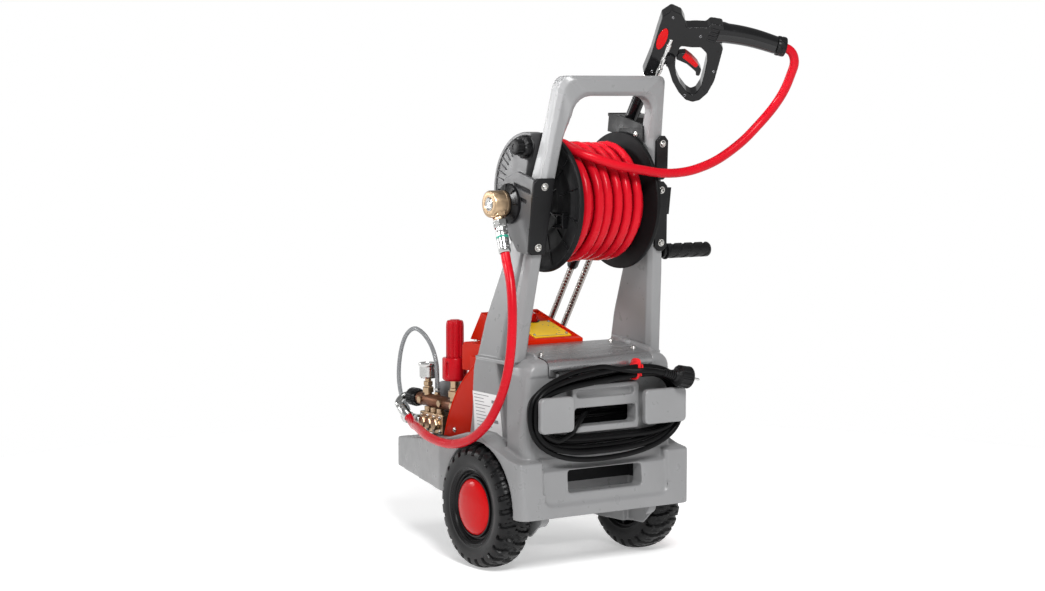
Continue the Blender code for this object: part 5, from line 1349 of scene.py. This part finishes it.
def brake():
    """Quarter-round brake housing with its knob."""
    centre = (0.045, 0.668)
    outer, inner = (arc(centre, radius, 82, 118, 24) for radius in (0.104, 0.098))
    tail = [(-0.04, 0.62), (0.01, 0.655), (0.0385, 0.69)]
    pieces = [slab("brake_look", "X", 0.101, 0.1215, outer + tail, M["housing"], 0.003, 4, 35),
        slab("brake_rim", "X", 0.12, 0.124, outer + inner[::-1], M["housing"], 0.0012, 2, 40)]
    for k in range(9):
        angle = math.radians(128 + 62 * k / 8)
        c, s = math.cos(angle), math.sin(angle)
        side = Vector((-s, c)) * 0.0011
        a = Vector(centre) + Vector((c, s)) * 0.076
        b = Vector(centre) + Vector((c, s)) * 0.097
        pieces.append(slab("brake_rib", "X", 0.1205, 0.1236, (a - side, b - side, b + side, a + side),
            M["housing"], 0.0006, 2))
    ride(joined("brake_look", pieces), "brake_housing", slot="silver_plastic")
    at = (0, 0.045, 0.746)
    ride(turned("brake_washer", at, ACROSS, [(0.1212, 0), (0.1212, 0.0215), (0.1232, 0.0225),
        (0.1241, 0.0205), (0.1241, 0)], M["black"], 72))

    def lobed(t, r, k):
        if r < 0.0175:
            return r - (0.0012 if k % 8 < 3 and r > 0.0125 else 0)
        return r - (0.0018 if k % 16 < 5 else 0.0)
    knob = turned("brake_knob_look", at, ACROSS, [(0.1243, 0), (0.1243, 0.0185), (0.1252, 0.02),
        (0.1325, 0.0202), (0.1342, 0.0192), (0.135, 0.0165), (0.1358, 0.0142), (0.1475, 0.0138),
        (0.1492, 0.0125), (0.15, 0.01), (0.15, 0.006), (0.1488, 0.0052), (0.1488, 0)], M["black"], 96,
        lobed, body="brake_screw", smooth=28)
    ride(knob, "brake_knob", slot="black_plastic")


# ---------------------------------------------------------------- gun and lances
def lances():
    """Gun lance, spare lance and the holder for both."""
    up = Vector((0, math.sin(LANCE_LEAN), math.cos(LANCE_LEAN)))
    sleeve = [(-0.325, 0.0063), (-0.325, 0.009), (-0.321, 0.0106), (-0.2, 0.011), (0.04, 0.0116)]
    for k in range(8):
        z = 0.044 + 0.005 * k
        sleeve += [(z, 0.0117), (z + 0.0012, 0.0108), (z + 0.0028, 0.0108), (z + 0.004, 0.0117)]
    sleeve += [(0.086, 0.0116), (0.09, 0.01), (0.09, 0.0063)]
    ride(turned("sleeve_look", LANCE_POINT, up, sleeve, M["gloss"], 56), "lance_sleeve", slot="black_plastic")
    tip = [(-0.61, 0), (-0.61, 0.0035), (-0.607, 0.004), (-0.607, 0.0066), (-0.604, 0.008),
        (-0.592, 0.0086), (-0.59, 0.008), (-0.588, 0.0086), (-0.577, 0.0086), (-0.573, 0.0066),
        (-0.57, 0.006)]
    line = turned("lance_look", LANCE_POINT, up, tip + [(0.09, 0.006), (0.103, 0.006), (0.103, 0)],
        M["chrome"], 48, hexed(lambda t, r: r > 0.0083 and t < -0.589))
    ride(line, "gun_lance", slot="chrome")
    nut = hexed(lambda t, r: 0.042 < t < 0.0565 and r > 0.0085)
    spare = [(-0.6, 0), (-0.6, 0.0038), (-0.597, 0.0042), (-0.597, 0.0076), (-0.593, 0.0092),
        (-0.575, 0.0096), (-0.573, 0.0088), (-0.571, 0.0096), (-0.557, 0.0096), (-0.553, 0.0072),
        (-0.55, 0.006)]
    spare = turned("spare_look", SPARE_POINT, up, spare + [(0.04, 0.006), (0.041, 0.0086), (0.043, 0.0092),
        (0.056, 0.0092), (0.057, 0.008), (0.06, 0.008), (0.061, 0.009), (0.069, 0.009), (0.07, 0.0082),
        (0.07, 0.005), (0.066, 0.0045), (0.066, 0)], M["chrome"], 48, nut)
    ride(spare, "spare_lance", slot="chrome")
    holder = softened("lance_holder", M["black"], 0.0022, 3, 35)
    apply(holder)
    plate = [(0.02, 0.77), (0.02, 0.793), (0.03, 0.8), (0.06, 0.793), (0.096, 0.785), (0.1, 0.78),
        (0.1, 0.754), (0.028, 0.754)]
    side = slab("holder_side", "X", -0.0886, -0.0856, plate, M["black"], 0.001)
    lip = solid("holder_lip", (-0.16, -0.008, 0.7975), (-0.087, -0.004, 0.8035), M["black"], 0.0012)
    ride(joined("holder_look", [holder, side, lip]), "lance_holder", slot="black_plastic")
    bolt((-0.0856, 0.08, 0.766), ACROSS, 0.004)
    clip = turned("lance_clip", LANCE_POINT, up, [(-0.262, 0.0117), (-0.262, 0.015), (-0.24, 0.015),
        (-0.24, 0.0117)], M["gloss"], 48)
    ride(clip)


def gun_turned(name, at, axis, profile, mat, segments, wobble=None, **kw):
    """A turned piece in the gun's own axes."""
    obj = turned(name, (0, 0, 0), axis, profile, mat, segments, wobble, **kw)
    obj.location = at
    return obj


GUN_AXES = Matrix.Rotation(-LANCE_LEAN, 4, "X") @ Matrix.Rotation(GUN_TURN, 4, "Z")


def in_hand(obj):
    """Places a piece drawn in the gun's own axes."""
    hand = Matrix.Translation(LANCE_POINT + SHIFT)
    bpy.context.view_layer.update()
    obj.rotation_mode = "QUATERNION"
    obj.matrix_world = hand @ GUN_AXES @ obj.matrix_world
    return obj


def gun():
    """Fixed parts of the gun, drawn in its own axes: Z along the lance, X towards the grip."""
    outer = [(-0.016, 0.19), (-0.018, 0.222), (-0.006, 0.239), (0.013, 0.236), (0.023, 0.226),
        (0.027, 0.214), (0.045, 0.221), (0.064, 0.226), (0.067, 0.235), (0.09, 0.238), (0.0935, 0.228),
        (0.0945, 0.204), (0.104, 0.196), (0.108, 0.165), (0.112, 0.13), (0.109, 0.104), (0.1, 0.086),
        (0.089, 0.079), (0.076, 0.08), (0.06, 0.09), (0.042, 0.107), (0.028, 0.127), (0.017, 0.14),
        (0.013, 0.1035), (-0.013, 0.1035), (-0.0125, 0.15)]
    body = prism("gun_look", "Y", -0.014, 0.014, rounded(outer, 0.006, 3), M["gloss"], local=True)
    window = [(0.031, 0.178), (0.05, 0.181), (0.066, 0.186), (0.08, 0.178), (0.086, 0.163), (0.09, 0.14),
        (0.093, 0.115), (0.09, 0.098), (0.083, 0.092), (0.072, 0.096), (0.056, 0.108), (0.044, 0.122),
        (0.036, 0.138), (0.031, 0.155)]
    cuts = [prism("window", "Y", -0.02, 0.02, rounded(window, 0.006, 3), None, local=True)]

    def oval(half, tall):
        return [(-0.004 + half * math.cos(math.tau * k / 40), 0.1815 + tall * math.sin(math.tau * k / 40))
            for k in range(40)]
    for side in (1, -1):
        lo, hi = either(side, 0.0128, 0.022)
        cuts.append(prism("inset_hollow", "Y", lo, hi, oval(0.0088, 0.0222), None, local=True))
        ridge = rounded([(0.0985, 0.108), (0.1055, 0.108), (0.1, 0.188), (0.093, 0.188)], 0.002, 3)
        cuts.append(prism("guard_groove", "Y", lo * 1.02, hi * 1.02, ridge, None, local=True))
    carve(body, "DIFFERENCE", *cuts)
    melted(body, M["gloss"], 0.001, 6, 0.22)
    # round grip that grows out of the body
    grip, angles = [], [math.tau * i / 40 for i in range(40)]
    for k in range(15):
        share = k / 14
        x = 0.086 + 0.106 * share
        z = 0.2165 + 0.007 * share + 0.004 * math.sin(math.pi * share)
        wide, tall = 0.017 - 0.0025 * share, 0.0185 - 0.0025 * share
        if k < 2:
            wide, tall = wide + 0.0016, tall + 0.0016
        grip.append([(x, wide * math.cos(a), z + tall * math.sin(a)) for a in angles])
    handle_grip = loft("gun_grip", grip, M["grip"], local=True, smooth=40)
    ribs = []
    for i in range(4):
        z = 0.202 + 0.0075 * i
        ribs.append(solid("grip_rib", (0.07, -0.0152, z), (0.087, 0.0152, z + 0.0042), M["gloss"], 0.0014,
            local=True))
    screws = []
    for x, z in ((0.0, 0.226), (0.058, 0.206), (0.104, 0.148), (0.072, 0.088), (0.0, 0.116)):
        for side in (1, -1):
            screws.append(gun_turned("gun_screw", (x, 0, z), (0, side, 0),
                [(0.011, 0), (0.011, 0.0024), (0.014, 0.0024), (0.0146, 0.0017), (0.0138, 0.0011),
                (0.0138, 0)], M["alloy"], 30))
    panels = []
    for side in (1, -1):
        lo, hi = either(side, 0.0118, 0.0143)
        panels.append(slab("gun_inset", "Y", lo, hi, oval(0.0082, 0.0214), M["cap"], 0.0008, 2, local=True))
    fittings = []
    for low, high, r in ((0.088, 0.099, 0.0088), (0.0985, 0.1065, 0.0102), (0.1065, 0.12, 0.0078)):
        wobble = hexagon if r > 0.01 else None
        fittings.append(gun_turned("gun_coupling", (0, 0, 0), UP, [(low, 0), (low, r - 0.0008),
            (low + 0.001, r), (high - 0.001, r), (high, r - 0.0008), (high, 0)], M["polished"], 48, wobble))
    valve = [(0.108, 0), (0.108, 0.0042), (0.116, 0.0042), (0.1165, 0.0054), (0.126, 0.0054),
        (0.1265, 0.004), (0.14, 0.004), (0.1405, 0.005), (0.148, 0.005), (0.1485, 0.0038), (0.162, 0.0038),
        (0.1625, 0.0048), (0.176, 0.0048), (0.1765, 0.0034), (0.186, 0.0034), (0.1865, 0)]
    for side in (1, -1):
        fittings.append(gun_turned("gun_valve", (0.0118, side * 0.0128, 0), UP, valve, M["polished"], 28))
    whole = joined("gun_look", [body, handle_grip] + ribs + screws + panels + fittings)
    ride(in_hand(whole), "gun_body", slot="black_gloss_plastic")


def gun_moving():
    """Hose swivel ring, trigger and latch of the gun."""
    ring = gun_turned("ring_look", (0.1935, 0, 0.2235), (0.985, 0, 0.07),
        [(0.0, 0), (0.0, 0.015), (0.0008, 0.0168), (0.003, 0.0176), (0.006, 0.0176), (0.0066, 0.0168),
        (0.0084, 0.0168), (0.009, 0.0176), (0.014, 0.0176), (0.0162, 0.0166), (0.017, 0.0145),
        (0.017, 0.0098), (0.015, 0.009), (0.015, 0)], M["black"], 96, notched(8, 3, 0.0009, 0.0172),
        body="gun_swivel", smooth=28)
    ride(in_hand(ring), "gun_swivel_ring", slot="black_plastic")
    lever = [(-0.0065, -0.0075), (-0.006, 0.0045), (0.005, 0.009), (0.02, 0.003), (0.035, -0.006),
        (0.0435, -0.014), (0.0445, -0.0265), (0.0385, -0.0275), (0.0355, -0.0205), (0.028, -0.0165),
        (0.015, -0.0105), (0.002, -0.0085)]
    trigger = slab("trigger_look", "Y", -0.0085, 0.0085, rounded(lever, 0.003, 3), M["gloss"], 0.0018,
        local=True, body="trigger")
    pad = [(0.005, 0.0094), (0.02, 0.0034), (0.0355, -0.0058), (0.0325, -0.0128), (0.017, -0.0062),
        (0.003, -0.0005)]
    inlay = slab("trigger_pad", "Y", -0.0093, 0.0093, rounded(pad, 0.002, 3), M["cap"], 0.001, local=True,
        body="trigger")
    lever = joined("trigger_look", [trigger, inlay])
    lever.location = (0.04, 0, 0.156)
    ride(in_hand(lever), "gun_trigger", slot="red_plastic")
    dial = gun_turned("latch_look", (0, 0, 0), (0, -1, 0), [(0.0126, 0), (0.0126, 0.0078), (0.0136, 0.0086),
        (0.018, 0.0086), (0.0196, 0.0076), (0.02, 0.0055), (0.02, 0)], M["black"], 72,
        notched(6, 2, 0.0008, 0.008), body="latch", smooth=28)
    lug = solid("latch_lug", (-0.003, -0.019, -0.015), (0.003, -0.013, 0.0), M["black"], 0.0012, local=True,
        body="latch")
    latch = joined("latch_look", [dial, lug])
    latch.location = (0.0225, 0, 0.15)
    ride(in_hand(latch), "gun_latch", slot="black_plastic")


# ---------------------------------------------------------------- hoses and mains cable
PLUG_AT, PLUG_WAY = (-0.09, 0.15, 0.3495), (-0.97, 0.0, -0.222)


def soft_lines():
    """The three free hoses."""
    for name, points, radius, mat, slot in (("supply_hose", SUPPLY_ROUTE, HOSE_R, "hose", "red_hose"),
            ("hose_to_gun", GUN_HOSE_ROUTE, HOSE_R, "hose", "red_hose"),
            ("bypass_hose", BYPASS_ROUTE, 0.0042, "clear", "clear_tube")):
        route = smooth_route(points, 0.005)
        line = cord(name + "_look", route, radius, M[mat])
        ride(line, name, slot=slot)
    ring = turned("bypass_clip", (0.087, -0.315, 0.278), UP, [(0, 0.004), (0, 0.0052), (0.004, 0.0052),
        (0.004, 0.004)], M["steel"], 36)
    ride(ring)


def mains():
    """Mains cable with its gland and its plug."""
    tail = [(0.018, 0.1225, 0.3625), (-0.008, 0.127, 0.3585), (-0.025, 0.1325, 0.3555),
        (-0.04, 0.1402, 0.354), (-0.056, 0.1478, 0.354), (-0.074, 0.15, 0.353),
        along_way(PLUG_AT, PLUG_WAY, 0.0016), along_way(PLUG_AT, PLUG_WAY, 0.0116)]
    route = smooth_route(cable_route() + tail, 0.0045)
    line = cord("mains_cable", route, CABLE_R, M["cable"])
    ride(line, "cable_tail", "cable_hank", "plug_lead", slot="cable_rubber")
    plug = mains_plug()
    gland = turned("gland_look", (0, 0.05, 0.285), ACROSS, [(-0.129, 0), (-0.129, 0.0062), (-0.123, 0.0062),
        (-0.1225, 0.0092), (-0.116, 0.0092), (-0.115, 0.0078), (-0.111, 0.007), (-0.11, 0.0052),
        (-0.11, 0)], M["black"], 48, hexed(lambda t, r: r > 0.0088))
    ride(gland, "cable_gland", slot="black_plastic")


def cable_tie():
    """Red tie wound round the hank's upper run."""
    middle, rows = 0.3535, []
    for x, grow in ((-0.0628, 0.0), (-0.0622, 0.0008), (-0.06, 0.0011), (-0.0578, 0.0008), (-0.0572, 0.0)):
        ring = []
        for k in range(36):
            angle = math.tau * k / 36
            c, s = math.cos(angle), math.sin(angle)
            z = middle + (0.018 + grow) * math.copysign(abs(s) ** 0.7, s)
            ring.append((x - 0.12 * (z - middle), 0.1162 + (0.013 + grow) * math.copysign(abs(c) ** 0.7, c),
                z))
        rows.append(ring)
    band = loft("cable_tie", rows, M["tie"])
    knot = solid("tie_knot", (-0.064, 0.129, 0.35), (-0.0565, 0.1335, 0.356), M["tie"], 0.002)
    ends = []
    for points in (((-0.06, 0.1325, 0.353), (-0.063, 0.1345, 0.358), (-0.062, 0.134, 0.363)),
            ((-0.06, 0.1325, 0.353), (-0.0585, 0.1347, 0.348), (-0.06, 0.134, 0.343))):
        ends.append(mesh_of(cord("tie_end", [Vector(q) for q in points], 0.0016, M["tie"])))
    ride(joined("cable_tie", [band, knot] + ends))


def mains_plug():
    def gripped(t, r, k):
        if 0.04 < t < 0.06 and r > 0.0175:
            return r - (0.0016 if k % 8 < 3 else 0.0)
        return r
    shape = [(0.0085, 0), (0.0085, 0.0056)]
    for k in range(5):
        t, r = 0.01 + 0.0042 * k, 0.0062 + 0.00055 * k
        shape += [(t, r), (t + 0.0022, r), (t + 0.0026, r - 0.0011), (t + 0.0038, r - 0.0011)]
    shape += [(0.032, 0.01), (0.036, 0.0118), (0.0385, 0.0165), (0.04, 0.0182), (0.0405, 0.019),
        (0.0595, 0.0196), (0.0605, 0.02), (0.0628, 0.02), (0.064, 0.0188), (0.064, 0.0155), (0.06, 0.015),
        (0.06, 0)]
    body = turned("plug_look", PLUG_AT, PLUG_WAY, shape, M["black"], 96, gripped, smooth=30)
    aim = Vector(PLUG_WAY).to_track_quat("Z", "Y")
    pieces = [body]
    for side in (-1, 1):
        pin = turned("plug_pin", PLUG_AT, PLUG_WAY, [(0.059, 0), (0.059, 0.0024), (0.079, 0.0024),
            (0.0815, 0.0014), (0.0815, 0)], M["polished"], 28)
        collar = turned("pin_collar", PLUG_AT, PLUG_WAY, [(0.059, 0), (0.059, 0.0044), (0.0625, 0.0044),
            (0.0625, 0)], M["black"], 28)
        for part in (pin, collar):
            part.location = part.location + aim @ Vector((0.0095 * side, 0, 0))
            pieces.append(part)
    made = joined("plug_look", pieces)
    return ride(made, "mains_plug", slot="black_plastic")


def main():
    for build in (chassis, inside_frame, type_plate, handle, sheet_cover, wheels, motor, hood, switch_panel,
            crankcase, valve_head, manifold, outlet_and_inlet, regulator, gauge, drum, crank, winding, swivel,
            brackets, left_bracket, brake, lances, gun, gun_moving, soft_lines, mains, cable_tie):
        build()


# ---------------------------------------------------------------- stage
def studio():
    scene = bpy.context.scene
    # camera place, aim and lens as fitted to the photo
    camera = bpy.data.cameras.new("camera")
    camera.lens, camera.sensor_width = 78.05, 36.0
    camera.shift_x, camera.shift_y = 0.0187, 0.0035
    obj = bpy.data.objects.new("camera", camera)
    obj.location = Vector(CAMERA_AT) + SHIFT
    yaw, pitch = math.radians(32.988), math.radians(5.258)
    look = Vector((-math.sin(yaw) * math.cos(pitch), -math.cos(yaw) * math.cos(pitch), -math.sin(pitch)))
    obj.rotation_mode = "QUATERNION"
    obj.rotation_quaternion = look.to_track_quat("-Z", "Y")
    scene.collection.objects.link(obj)
    scene.camera = obj
    world = bpy.data.worlds.new("studio")
    world.use_nodes = True
    tree = world.node_tree
    tree.nodes["Background"].inputs["Color"].default_value = (1, 1, 1, 1)
    # white round the horizon, dimmer overhead
    split = tree.nodes.new("ShaderNodeSeparateXYZ")
    span = tree.nodes.new("ShaderNodeMapRange")
    for socket, value in (("From Min", 0.12), ("From Max", 0.4), ("To Min", 1.0), ("To Max", 0.32)):
        span.inputs[socket].default_value = value
    tree.links.new(tree.nodes.new("ShaderNodeTexCoord").outputs["Generated"], split.inputs["Vector"])
    tree.links.new(split.outputs["Z"], span.inputs["Value"])
    tree.links.new(span.outputs["Result"], tree.nodes["Background"].inputs["Strength"])
    scene.world = world
    scene.view_settings.view_transform = "Standard"
    middle = (0, 0, 0.5)
    # name, place, target, size, power, spread in degrees
    lights = (
        ("key", (1.3, 3.0, 2.9), middle, 1.1, 150.0, 180),
        ("top", (0.6, 0.0, 3.4), middle, 1.5, 22.0, 180),
        ("strip", (1.5, -1.9, 0.85), middle, 0.5, 8.0, 180),
        ("side", (1.1, 0.0, 1.15), (0.14, 0.13, 0.79), 0.35, 1.2, 38))
    for name, place, target, size, power, spread in lights:
        light = bpy.data.lights.new(name, "AREA")
        light.size, light.energy, light.spread = size, power, math.radians(spread)
        lamp = bpy.data.objects.new(name, light)
        lamp.location = place
        lamp.rotation_mode = "QUATERNION"
        lamp.rotation_quaternion = (Vector(target) - Vector(place)).to_track_quat("-Z", "Y")
        scene.collection.objects.link(lamp)
    rim = [(1.7 * math.cos(math.tau * k / 96), 1.7 * math.sin(math.tau * k / 96), 0) for k in range(96)]
    floor = add("floor", rim, [tuple(range(96))], glowing("floor", 0.9, 0.38), smooth=0)


studio()
main()
